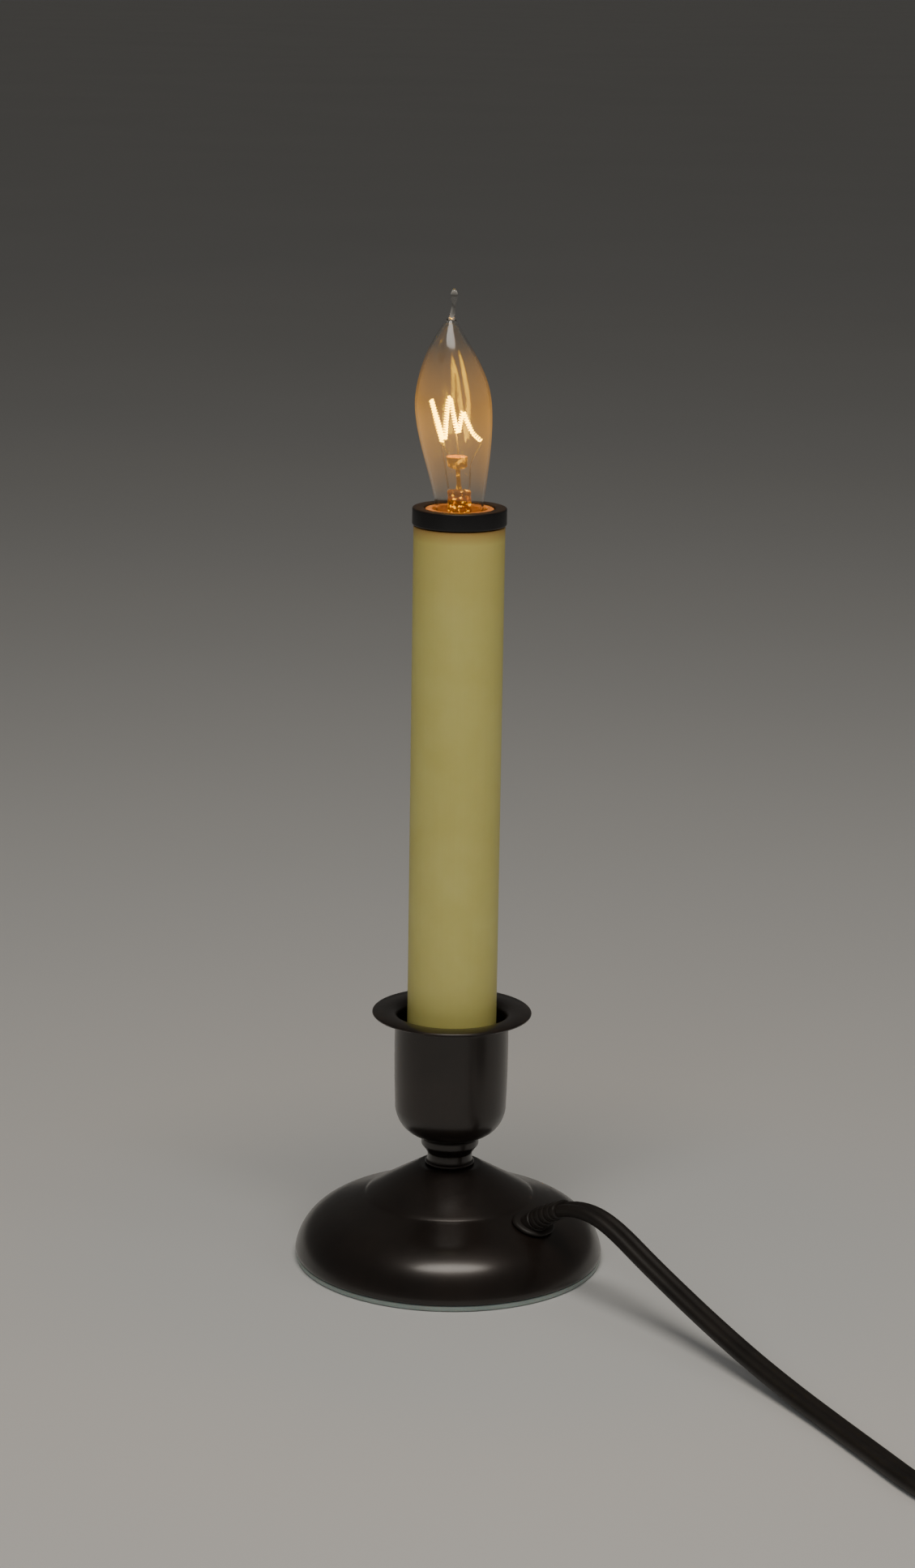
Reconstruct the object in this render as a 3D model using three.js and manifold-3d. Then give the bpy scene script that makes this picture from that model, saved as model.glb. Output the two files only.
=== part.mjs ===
// Electric window candle: a weighted dome base, a turned neck, a flanged cup, an ivory candle sleeve over
// a candelabra socket, a lit flame bulb, and a flat two-core lead with an in-line switch and a plug.
// Millimetres, +Z up. The origin is the centre of the base's underside.
import * as THREE from 'three';
import { mergeVertices } from 'three/addons/utils/BufferGeometryUtils.js';
import Module from 'manifold-3d';

const wasm = await Module();
wasm.setup();

// ---------------------------------------------------------------- driving dimensions
const GAP = 0.3;                      // clearance between touching pieces
const ROUND = 32;                     // segments round a large turned piece
const SMALL_ROUND = 12;               // segments round a small turned piece

const PAD_THICKNESS = 1.5;
const PAD_RADIUS = 45.3;
const DOME_BOTTOM = PAD_THICKNESS + GAP;
const DOME_RADIUS = 45.6;
const DOME_WALL = 1.2;
const DOME_TOP = 29.1;
const CREASE_RADIUS = 25;             // soft step between the dome's cone and its rounded shoulder

const WEIGHT_RADIUS = 41.2;
const WEIGHT_BORE = 13.5;
const WEIGHT_TOP = 6.4;

const PIPE_RADIUS = 4.9;              // 1/8 IP lamp pipe
const PIPE_BORE = 3.3;
const PIPE_BOTTOM = 20.5;
const PIPE_TOP = 51;
const PIPE_HOLE = 5.3;                // hole for the pipe in the pieces it clamps
const NUT_FLATS = 14;
const NUT_HEIGHT = 3.6;

const NECK_BOTTOM = DOME_TOP + GAP;
const NECK_FOOT = 7.1;
const NECK_WAIST = 6.6;
const NECK_DISC = 8.5;
const NECK_TOP = 37.8;

const CUP_BOTTOM = NECK_TOP + GAP;
const CUP_RADIUS = 16.8;
const CUP_WALL = 0.95;
const CUP_FLOOR = CUP_BOTTOM + 1.0;
const FLANGE_RADIUS = 23.5;
const FLANGE_TOP = 76.2;
const FLANGE_THICKNESS = 0.9;

const SLEEVE_RADIUS = 13.1;
const SLEEVE_BORE = 11.75;
const SLEEVE_BOTTOM = 43;
const SLEEVE_TOP = 220.2;

const COLLAR_RADIUS = 13.5;
const COLLAR_BOTTOM = SLEEVE_TOP + GAP;
const COLLAR_TOP = 225.5;
const COLLAR_OPENING = 10.15;
const COLLAR_SKIRT_BOTTOM = 213;

const SOCKET_RADIUS = 10.2;
const SOCKET_BOTTOM = 192;
const SOCKET_TOP = 225.3;
const SOCKET_MOUTH = 7.9;
const THREAD_PITCH = 2.54;            // E12 candelabra thread
const BULB_THREAD_RADIUS = 5.85;
const SOCKET_THREAD_RADIUS = 6.3;
const CONTACT_Z = 199.7;              // underside of the bulb's centre contact

const BULB_RADIUS = 10.9;
const BULB_TOP = 287.2;
const GLASS_WALL = 0.7;
const BULB_LEAN = 2.45;               // the glass is set a little crooked in its screw shell
const LEAN_FROM = 222;
const LEAN_TO = 262;

const CORD_WIDTH = 7.1;
const CORD_THICKNESS = 3.7;
const COIL_CENTRE = new THREE.Vector3(209, -122, 0);
const COIL_INNER = 30.5;
const COIL_OUTER = 46.4;
const COIL_BOTTOM = 1.0;
const COIL_TOP = 15.7;
const TIE_ANGLE = 120;                // degrees round the coil
const SWITCH_CENTRE = new THREE.Vector3(172, -177.8, 0);
const SWITCH_LENGTH = 44;
const SWITCH_WIDTH = 19;
const SWITCH_HEIGHT = 13;
const SWITCH_BOTTOM = 0.1;
const SWITCH_SPLIT = 5.6;             // height of the parting line and of the cord's centre
const ROCKER_TILT = 8;                // degrees from level, at rest in the ON position

// Where the lead runs, from the dome's wall to the switch, on to the coil, and from there to the plug.
const LEAD_POINTS = [
  [24.4, -19.1, 17.2],
  [29.4, -23.3, 22.2],
  [34.0, -27.4, 25.2],
  [39.0, -32.0, 26.4],
  [44.0, -37.0, 25.7],
  [49.0, -42.5, 23.3],
  [56.0, -51.0, 18.8],
  [63.5, -60.5, 14.4],
  [73.0, -74.0, 9.7],
  [82.5, -89.0, 6.1],
  [92.0, -105.0, 3.6],
  [101.5, -122.5, 2.3],
  [110.5, -141.0, 2.0],
  [120.0, -161.0, 2.0],
  [124.0, -167.5, 2.1],
  [129.0, -172.3, 2.5],
  [135.5, -175.7, 3.4],
  [142.5, -177.4, 4.6],
  [149.7, -177.8, 5.6],
];
const MIDDLE_POINTS = [
  [194.3, -177.8, 5.6],
  [200.5, -177.4, 5.5],
  [206.5, -176.5, 5.3],
  [212.5, -175.0, 5.1],
  [218.5, -172.6, 4.9],
  [224.5, -169.5, 4.8],
  [230.2, -165.7, 4.7],
];
const TAIL_POINTS = [
  [236.8, -151.6, 18.5],
  [241.6, -143.0, 20.4],
  [244.9, -133.7, 22.3],
  [246.0, -124.3, 22.6],
];

// ---------------------------------------------------------------- helpers
const group = new THREE.Group();

const MATERIALS = {
  bronze: new THREE.MeshStandardMaterial({ color: 0x2b221b, roughness: 0.42, metalness: 0.7 }),
  ivory: new THREE.MeshStandardMaterial({ color: 0xe9dfb4, roughness: 0.5, metalness: 0 }),
  cream: new THREE.MeshStandardMaterial({ color: 0xcbb489, roughness: 0.5, metalness: 0 }),
  black: new THREE.MeshStandardMaterial({ color: 0x131110, roughness: 0.45, metalness: 0 }),
  cord: new THREE.MeshStandardMaterial({ color: 0x17120f, roughness: 0.5, metalness: 0 }),
  brass: new THREE.MeshStandardMaterial({ color: 0xb4903f, roughness: 0.3, metalness: 1 }),
  steel: new THREE.MeshStandardMaterial({ color: 0x9a9ca0, roughness: 0.35, metalness: 1 }),
  iron: new THREE.MeshStandardMaterial({ color: 0x3b3b3d, roughness: 0.7, metalness: 0.8 }),
  clear: new THREE.MeshStandardMaterial({ color: 0xc9d2cb, roughness: 0.3, metalness: 0 }),
  glass: new THREE.MeshStandardMaterial({
    color: 0xfff3df,
    roughness: 0.05,
    transparent: true,
    opacity: 0.4,
  }),
  glow: new THREE.MeshStandardMaterial({ color: 0xffb45a, emissive: 0xff9a3c, roughness: 0.5 }),
  copper: new THREE.MeshStandardMaterial({ color: 0x6d5230, roughness: 0.5, metalness: 0 }),
};

function facesOut(geometry) {
  const position = geometry.attributes.position;
  const index = geometry.index;
  const count = index ? index.count : position.count;
  const corner = (i) => new THREE.Vector3().fromBufferAttribute(position, index ? index.getX(i) : i);
  let volume = 0;
  for (let i = 0; i < count; i += 3) {
    volume += corner(i).dot(corner(i + 1).cross(corner(i + 2)));
  }
  if (volume > 0) return geometry;
  const order = Array.from({ length: count }, (_, i) => (index ? index.getX(i) : i));
  for (let i = 0; i < count; i += 3) {
    [order[i + 1], order[i + 2]] = [order[i + 2], order[i + 1]];
  }
  geometry.setIndex(order);
  geometry.computeVertexNormals();
  return geometry;
}

// The bulb's glass and what it carries lean to -X between two heights.
function leaning(geometry) {
  const position = geometry.attributes.position;
  for (let i = 0; i < position.count; i += 1) {
    const lean = BULB_LEAN * THREE.MathUtils.smoothstep(position.getZ(i), LEAN_FROM, LEAN_TO);
    position.setX(i, position.getX(i) - lean);
  }
  geometry.computeVertexNormals();
  return geometry;
}

function add(name, material, geometry) {
  const mesh = new THREE.Mesh(facesOut(geometry), material.clone());
  mesh.name = name;
  group.add(mesh);
  return mesh;
}

function solidOf(geometry) {
  const bare = facesOut(geometry.clone());
  bare.deleteAttribute('normal');
  bare.deleteAttribute('uv');
  const merged = mergeVertices(bare, 1e-5);
  const vertProperties = merged.attributes.position.array;
  const triVerts = new Uint32Array(merged.index.array);
  return new wasm.Manifold(new wasm.Mesh({ numProp: 3, vertProperties, triVerts }));
}

function geometryOf(solid) {
  const mesh = solid.getMesh();
  const geometry = new THREE.BufferGeometry();
  geometry.setAttribute('position', new THREE.BufferAttribute(new Float32Array(mesh.vertProperties), 3));
  geometry.setIndex(Array.from(mesh.triVerts));
  geometry.computeVertexNormals();
  return geometry;
}

// A turned piece round +Z from [radius, z] points. The outline touches the axis at both ends or is a ring
// section, which is closed here.
function turned(outline, segments = ROUND) {
  const points = outline.map(([r, z]) => new THREE.Vector2(r, z));
  const [first, last] = [points[0], points[points.length - 1]];
  if (first.x > 0 || last.x > 0) points.push(first.clone());
  return new THREE.LatheGeometry(points, segments).rotateX(Math.PI / 2);
}

function tube(inner, outer, bottom, top, segments = ROUND) {
  return turned([[inner, bottom], [outer, bottom], [outer, top], [inner, top]], segments);
}

function rod(radius, bottom, top, segments = SMALL_ROUND) {
  return turned([[0, bottom], [radius, bottom], [radius, top], [0, top]], segments);
}

function block(x, y, z, width, depth, height) {
  return new THREE.BoxGeometry(width, depth, height).translate(x, y, z);
}

// The outline moved sideways by a distance, to its left when walking along it.
function offsetOutline(outline, distance) {
  return outline.map(([r, z], i) => {
    const before = outline[Math.max(i - 1, 0)];
    const after = outline[Math.min(i + 1, outline.length - 1)];
    const along = new THREE.Vector2(after[0] - before[0], after[1] - before[1]).normalize();
    return [r - along.y * distance, z + along.x * distance];
  });
}

function nut(name, bottom, height = NUT_HEIGHT) {
  const hexagon = new THREE.CylinderGeometry(NUT_FLATS / Math.sqrt(3), NUT_FLATS / Math.sqrt(3), height, 6);
  hexagon.rotateX(Math.PI / 2).translate(0, 0, bottom + height / 2);
  const bore = rod(PIPE_RADIUS + GAP, bottom - 1, bottom + height + 1);
  add(name, MATERIALS.steel, geometryOf(solidOf(hexagon).subtract(solidOf(bore))));
}

// A stretch of a cord's route, on which the flat section's wide side stays level or turns by roll(u)
// radians. from and to are distances along the route through the points.
class LevelCurve extends THREE.Curve {
  constructor(points, { from = 0, to = Infinity, roll = () => 0 } = {}) {
    super();
    this.route = new THREE.CatmullRomCurve3(points.map((p) => new THREE.Vector3(...p)), false, 'centripetal');
    this.whole = this.route.getLength();
    this.from = from;
    this.to = Math.min(to, this.whole);
    this.roll = roll;
  }

  getPoint(t) {
    return this.route.getPointAt(THREE.MathUtils.lerp(this.from, this.to, t) / this.whole);
  }

  frameAt(u) {
    const tangent = this.getTangentAt(u);
    const side = new THREE.Vector3(0, 0, 1).cross(tangent).normalize().applyAxisAngle(tangent, this.roll(u));
    return { tangent, side, up: tangent.clone().cross(side) };
  }

  computeFrenetFrames(segments) {
    const frames = Array.from({ length: segments + 1 }, (_, i) => this.frameAt(i / segments));
    return {
      tangents: frames.map((f) => f.tangent),
      normals: frames.map((f) => f.side),
      binormals: frames.map((f) => f.up),
    };
  }
}

function cordTube(name, curve, steps) {
  const section = new THREE.Shape();
  section.absellipse(0, 0, CORD_WIDTH / 2, CORD_THICKNESS / 2, 0, Math.PI * 2);
  const options = { steps, curveSegments: 5, bevelEnabled: false, extrudePath: curve };
  add(name, MATERIALS.cord, new THREE.ExtrudeGeometry(section, options));
}

function wire(name, material, points, radius, steps, shape = (geometry) => geometry) {
  const section = new THREE.Shape();
  section.absarc(0, 0, radius, 0, Math.PI * 2);
  const curve = new THREE.CatmullRomCurve3(points.map((p) => new THREE.Vector3(...p)), false, 'centripetal');
  const options = { steps, curveSegments: 4, bevelEnabled: false, extrudePath: curve };
  add(name, material, shape(new THREE.ExtrudeGeometry(section, options)));
}

// ---------------------------------------------------------------- base
// The dome's outer face, from the rim up to the hole for the pipe.
const shoulder = new THREE.QuadraticBezierCurve(
  new THREE.Vector2(DOME_RADIUS, 3),
  new THREE.Vector2(43.8, 12.4),
  new THREE.Vector2(33, 16.4),
);
const domeOutline = [
  [DOME_RADIUS - 0.2, DOME_BOTTOM],
  ...shoulder.getPoints(6).map((p) => [p.x, p.y]),
  [CREASE_RADIUS, 19.7],
  [CREASE_RADIUS - 0.8, 20.3],
  [17, 24.6],
  [9.8, 28.8],
  [8.8, DOME_TOP],
  [PIPE_HOLE, DOME_TOP],
];

// A shell between two faces that lie outside and inside the dome's outer face.
function domeShell(outside, inside) {
  const outer = offsetOutline(domeOutline, -outside);
  const inner = offsetOutline(domeOutline, inside);
  return turned([...outer, ...inner.reverse()], ROUND);
}

// An oval bar bent along a curve. size(s) gives its half width and half thickness at s millimetres from
// the curve's start, and negative s runs straight back from there.
function bentBar(curve, from, to, size) {
  const length = curve.getLength();
  const geometry = new THREE.CylinderGeometry(1, 1, 1, 20, 8).rotateZ(-Math.PI / 2).translate(0.5, 0, 0);
  const position = geometry.attributes.position;
  for (let i = 0; i < position.count; i += 1) {
    const s = from + (to - from) * position.getX(i);
    const { tangent, side, up } = curve.frameAt(THREE.MathUtils.clamp(s / length, 0, 1));
    const [width, thickness] = size(s);
    const centre = curve.getPointAt(THREE.MathUtils.clamp(s / length, 0, 1));
    if (s < 0) centre.addScaledVector(tangent, s);
    centre.addScaledVector(side, position.getY(i) * width);
    centre.addScaledVector(up, position.getZ(i) * thickness);
    position.setXYZ(i, centre.x, centre.y, centre.z);
  }
  return geometry;
}

const RELIEF_INNER_END = -6.5;
const RELIEF_OUTER_END = 14;
const reliefCurve = new LevelCurve(LEAD_POINTS, { to: RELIEF_OUTER_END });

function reliefSize(s) {
  const taper = THREE.MathUtils.smoothstep(s, 2, RELIEF_OUTER_END);
  return [5.0 - 0.7 * taper, 3.5 - 0.9 * taper];
}

function buildBase() {
  add('base_pad', MATERIALS.clear, rod(PAD_RADIUS, 0, PAD_THICKNESS, ROUND));

  const holeSize = (s) => reliefSize(s).map((half) => half + GAP);
  const hole = bentBar(reliefCurve, RELIEF_INNER_END, 6, holeSize);
  add('base_dome', MATERIALS.bronze, geometryOf(solidOf(domeShell(0, DOME_WALL)).subtract(solidOf(hole))));

  add('base_weight', MATERIALS.iron, turned([
    [WEIGHT_BORE, DOME_BOTTOM],
    [WEIGHT_RADIUS, DOME_BOTTOM],
    [WEIGHT_RADIUS, WEIGHT_TOP - 1],
    [WEIGHT_RADIUS - 1, WEIGHT_TOP],
    [WEIGHT_BORE, WEIGHT_TOP],
  ]));

  const washerTop = DOME_TOP - DOME_WALL - GAP;
  const WASHER = 1.2;
  add('base_washer', MATERIALS.steel, tube(PIPE_HOLE, 8.3, washerTop - WASHER, washerTop, SMALL_ROUND));
  nut('base_nut', washerTop - WASHER - GAP - NUT_HEIGHT);

  // The strain relief: a tapered nose, and a lip on each side of the dome's wall.
  const LIP = 1.3;
  const nose = solidOf(bentBar(reliefCurve, RELIEF_INNER_END, RELIEF_OUTER_END, reliefSize));
  const lipSize = () => [6.5, 5.0];
  const lipBar = solidOf(bentBar(reliefCurve, RELIEF_INNER_END, 6, lipSize));
  const outerLip = lipBar.intersect(solidOf(domeShell(GAP + LIP, -GAP)));
  const innerLip = lipBar.intersect(solidOf(domeShell(-DOME_WALL - GAP, DOME_WALL + GAP + LIP)));
  add('cord_strain_relief', MATERIALS.cord, geometryOf(nose.add(outerLip).add(innerLip)));
}

// ---------------------------------------------------------------- stem: pipe, neck and cup
function buildStem() {
  add('lamp_pipe', MATERIALS.steel, turned([
    [PIPE_BORE, PIPE_BOTTOM],
    [PIPE_RADIUS - 0.5, PIPE_BOTTOM],
    [PIPE_RADIUS, PIPE_BOTTOM + 0.5],
    [PIPE_RADIUS, PIPE_TOP - 0.5],
    [PIPE_RADIUS - 0.5, PIPE_TOP],
    [PIPE_BORE, PIPE_TOP],
  ], SMALL_ROUND));

  // A short straight neck that spreads in a cone to the disc under the cup.
  add('neck', MATERIALS.bronze, turned([
    [PIPE_HOLE, NECK_BOTTOM],
    [NECK_FOOT, NECK_BOTTOM],
    [NECK_FOOT - 0.2, NECK_BOTTOM + 0.5],
    [NECK_WAIST, NECK_BOTTOM + 1.3],
    [NECK_WAIST, NECK_BOTTOM + 2.9],
    [NECK_WAIST + 0.5, NECK_BOTTOM + 4.0],
    [NECK_DISC - 0.4, NECK_BOTTOM + 5.4],
    [NECK_DISC, NECK_BOTTOM + 6.2],
    [NECK_DISC, NECK_TOP - 0.6],
    [NECK_DISC - 0.6, NECK_TOP],
    [PIPE_HOLE, NECK_TOP],
  ], 28));

  const bowl = new THREE.QuadraticBezierCurve(
    new THREE.Vector2(9.6, CUP_BOTTOM + 0.15),
    new THREE.Vector2(15.4, 40.3),
    new THREE.Vector2(16.5, 47),
  );
  const outside = [
    [PIPE_HOLE, CUP_BOTTOM],
    [8.8, CUP_BOTTOM],
    ...bowl.getPoints(5).map((p) => [p.x, p.y]),
    [CUP_RADIUS, 60],
    [CUP_RADIUS, FLANGE_TOP - FLANGE_THICKNESS - 0.9],
    [CUP_RADIUS + 0.9, FLANGE_TOP - FLANGE_THICKNESS],
    [FLANGE_RADIUS, FLANGE_TOP - FLANGE_THICKNESS],
  ];
  const inside = offsetOutline(outside, CUP_WALL).slice(0, -2);
  inside[0][0] = PIPE_HOLE;
  add('candle_cup', MATERIALS.bronze, turned([
    ...outside,
    [FLANGE_RADIUS, FLANGE_TOP],
    [CUP_RADIUS + 0.5, FLANGE_TOP],
    ...inside.reverse(),
  ], ROUND));

  const WASHER = 1;
  const washerBottom = CUP_FLOOR + GAP;
  add('cup_washer', MATERIALS.steel, tube(PIPE_HOLE, 8.3, washerBottom, washerBottom + WASHER, SMALL_ROUND));
  nut('cup_nut', CUP_FLOOR + WASHER + 2 * GAP, 3.4);
}

// ---------------------------------------------------------------- candle: bracket, socket, sleeve, collar
const BRACKET_BOTTOM = CUP_FLOOR + 1 + 2 * GAP + 3.4 + GAP;
const BRACKET_STRIP = 1.2;
const BRACKET_FACE = 8.4;             // distance of the upright strip from the axis
const BRACKET_WIDTH = 8;
const BRACKET_TOP = SOCKET_BOTTOM - GAP;
const RIVET_RADIUS = 1.4;

function buildSocket() {
  const outline = new THREE.Shape([
    [0, BRACKET_BOTTOM],
    [BRACKET_FACE + BRACKET_STRIP, BRACKET_BOTTOM],
    [BRACKET_FACE + BRACKET_STRIP, BRACKET_TOP],
    [-4, BRACKET_TOP],
    [-4, BRACKET_TOP - BRACKET_STRIP],
    [BRACKET_FACE, BRACKET_TOP - BRACKET_STRIP],
    [BRACKET_FACE, BRACKET_BOTTOM + BRACKET_STRIP],
    [0, BRACKET_BOTTOM + BRACKET_STRIP],
  ].map(([y, z]) => new THREE.Vector2(y, z)));
  const strip = new THREE.ExtrudeGeometry(outline, { depth: BRACKET_WIDTH, bevelEnabled: false });
  strip.translate(0, 0, -BRACKET_WIDTH / 2).rotateY(Math.PI / 2).rotateX(Math.PI / 2);
  const eye = solidOf(rod(7.6, BRACKET_BOTTOM, BRACKET_BOTTOM + BRACKET_STRIP));
  const pipeHole = solidOf(rod(PIPE_HOLE, BRACKET_BOTTOM - 1, BRACKET_BOTTOM + 3));
  const rivetHole = solidOf(rod(RIVET_RADIUS + GAP, BRACKET_TOP - 3, BRACKET_TOP + 1, 12));
  const bracket = solidOf(strip).add(eye).subtract(pipeHole).subtract(rivetHole);
  add('socket_bracket', MATERIALS.steel, geometryOf(bracket));
  nut('bracket_nut', BRACKET_BOTTOM + BRACKET_STRIP + GAP, 2.8);

  add('socket_rivet', MATERIALS.steel, turned([
    [0, BRACKET_TOP - BRACKET_STRIP - GAP - 1],
    [2.3, BRACKET_TOP - BRACKET_STRIP - GAP - 1],
    [2.6, BRACKET_TOP - BRACKET_STRIP - GAP],
    [RIVET_RADIUS, BRACKET_TOP - BRACKET_STRIP - GAP],
    [RIVET_RADIUS, SOCKET_BOTTOM + 2.4],
    [0, SOCKET_BOTTOM + 2.4],
  ], 12));

  // The socket's insulating body: a mouth for the bulb's neck, a bore for the screw shell, and a
  // chamber for the centre contact.
  add('socket_body', MATERIALS.cream, turned([
    [RIVET_RADIUS + GAP, SOCKET_BOTTOM],
    [SOCKET_RADIUS - 0.6, SOCKET_BOTTOM],
    [SOCKET_RADIUS, SOCKET_BOTTOM + 0.6],
    [SOCKET_RADIUS, COLLAR_BOTTOM - 1],
    [COLLAR_OPENING - GAP, COLLAR_BOTTOM - 0.6],
    [COLLAR_OPENING - GAP, SOCKET_TOP - 0.4],
    [COLLAR_OPENING - GAP - 0.4, SOCKET_TOP],
    [SOCKET_MOUTH, SOCKET_TOP],
    [SOCKET_MOUTH, 219.6],
    [SOCKET_THREAD_RADIUS + 0.95, 219.6],
    [SOCKET_THREAD_RADIUS + 0.95, 202.4],
    [5.2, 202.4],
    [5.2, SOCKET_BOTTOM + 4],
    [RIVET_RADIUS + GAP, SOCKET_BOTTOM + 4],
  ], 32));

  add('socket_screw_shell', MATERIALS.brass, threadedShell(SOCKET_THREAD_RADIUS, 203, 0.35, 5));

  // The centre contact: a sprung leaf that the bulb presses on.
  const leaf = new THREE.Shape();
  leaf.moveTo(-4.2, SOCKET_BOTTOM + 4.3);
  leaf.lineTo(4.2, SOCKET_BOTTOM + 4.3);
  leaf.lineTo(4.2, SOCKET_BOTTOM + 4.8);
  leaf.lineTo(-2.6, SOCKET_BOTTOM + 4.8);
  leaf.lineTo(2.4, CONTACT_Z - GAP - 0.2);
  leaf.lineTo(2.4, CONTACT_Z - GAP);
  leaf.lineTo(-0.6, CONTACT_Z - GAP);
  leaf.lineTo(-4.2, SOCKET_BOTTOM + 5.0);
  const contact = new THREE.ExtrudeGeometry(leaf, { depth: 3, bevelEnabled: false });
  add('socket_contact', MATERIALS.brass, contact.translate(0, 0, -1.5).rotateX(Math.PI / 2));
}

// A rolled screw shell: its wall swells and narrows once per pitch.
function threadedShell(radius, bottom, wall, turns) {
  const DEPTH = 0.3;
  const STEPS = 3;                    // points per pitch
  const outline = [];
  for (let i = 0; i <= turns * STEPS; i += 1) {
    const wave = DEPTH * Math.sin((i / STEPS) * 2 * Math.PI - Math.PI / 2);
    outline.push([radius + wave / 2 + DEPTH / 2, bottom + (i / STEPS) * THREAD_PITCH]);
  }
  const inner = outline.map(([r, z]) => [r, z]);
  const outer = outline.map(([r, z]) => [r + wall, z]);
  return turned([...outer, ...inner.reverse()], SMALL_ROUND);
}

function buildCandle() {
  add('candle_sleeve', MATERIALS.ivory, tube(SLEEVE_BORE, SLEEVE_RADIUS, SLEEVE_BOTTOM, SLEEVE_TOP));

  const CORNER = 0.7;
  add('socket_collar', MATERIALS.black, turned([
    [SOCKET_RADIUS + GAP + 0.1, COLLAR_SKIRT_BOTTOM],
    [SLEEVE_BORE - GAP, COLLAR_SKIRT_BOTTOM],
    [SLEEVE_BORE - GAP, COLLAR_BOTTOM],
    [COLLAR_RADIUS, COLLAR_BOTTOM],
    [COLLAR_RADIUS, COLLAR_TOP - CORNER],
    [COLLAR_RADIUS - 0.3 * CORNER, COLLAR_TOP - 0.3 * CORNER],
    [COLLAR_RADIUS - CORNER, COLLAR_TOP],
    [COLLAR_OPENING + 0.3, COLLAR_TOP],
    [COLLAR_OPENING, COLLAR_TOP - 0.3],
    [COLLAR_OPENING, COLLAR_BOTTOM],
    [SOCKET_RADIUS + GAP + 0.1, COLLAR_BOTTOM - 0.6],
  ], 36));
}

// ---------------------------------------------------------------- wiring inside the lamp
function buildWires() {
  const WIRE_RADIUS = 1.1;
  for (const [name, side] of [['wire_line', 1], ['wire_neutral', -1]]) {
    wire(name, MATERIALS.copper, [
      [20.1 + side * 1.0, -15.6 + side * 1.2, 12.9],
      [15 + side * 1.0, -11.5 + side * 1.3, 10.5],
      [6 + side * 1.2, -4 + side * 1.2, 11.5],
      [1 + side * 1.4, -0.5, 15.5],
      [side * 1.6, 0, 22],
      [side * 1.6, 0, 36],
      [side * 1.6, 0, 56],
      [side * 3.2, 0, 70],
      [side * 3.6, -1, 120],
      [side * 4.6, -1, 170],
      [side * 5.4, -1, 184],
      [side * 5.4, -1, SOCKET_BOTTOM - GAP],
    ], WIRE_RADIUS, 44);
  }
}

// ---------------------------------------------------------------- bulb
// Half of the envelope's outline as a formula: an egg that draws out to a flame's tip.
const GLASS_BOTTOM = 218.2;
const NECK_Z = 226;                   // the bulb's neck, level with the collar's top
const WIDEST_Z = 254;
const FLAME_TIP_Z = 279.5;

function envelopeRadius(z) {
  if (z < NECK_Z) return THREE.MathUtils.lerp(5.6, 6.95, (z - GLASS_BOTTOM) / (NECK_Z - GLASS_BOTTOM));
  if (z < WIDEST_Z) {
    const t = (z - NECK_Z) / (WIDEST_Z - NECK_Z);
    return 6.95 + (BULB_RADIUS - 6.95) * Math.sin((t ** 1.25) * Math.PI / 2);
  }
  const t = (z - WIDEST_Z) / (FLAME_TIP_Z - WIDEST_Z);
  return 0.8 + (BULB_RADIUS - 0.8) * (1 - t ** 1.9) ** 1.12;
}

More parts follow.
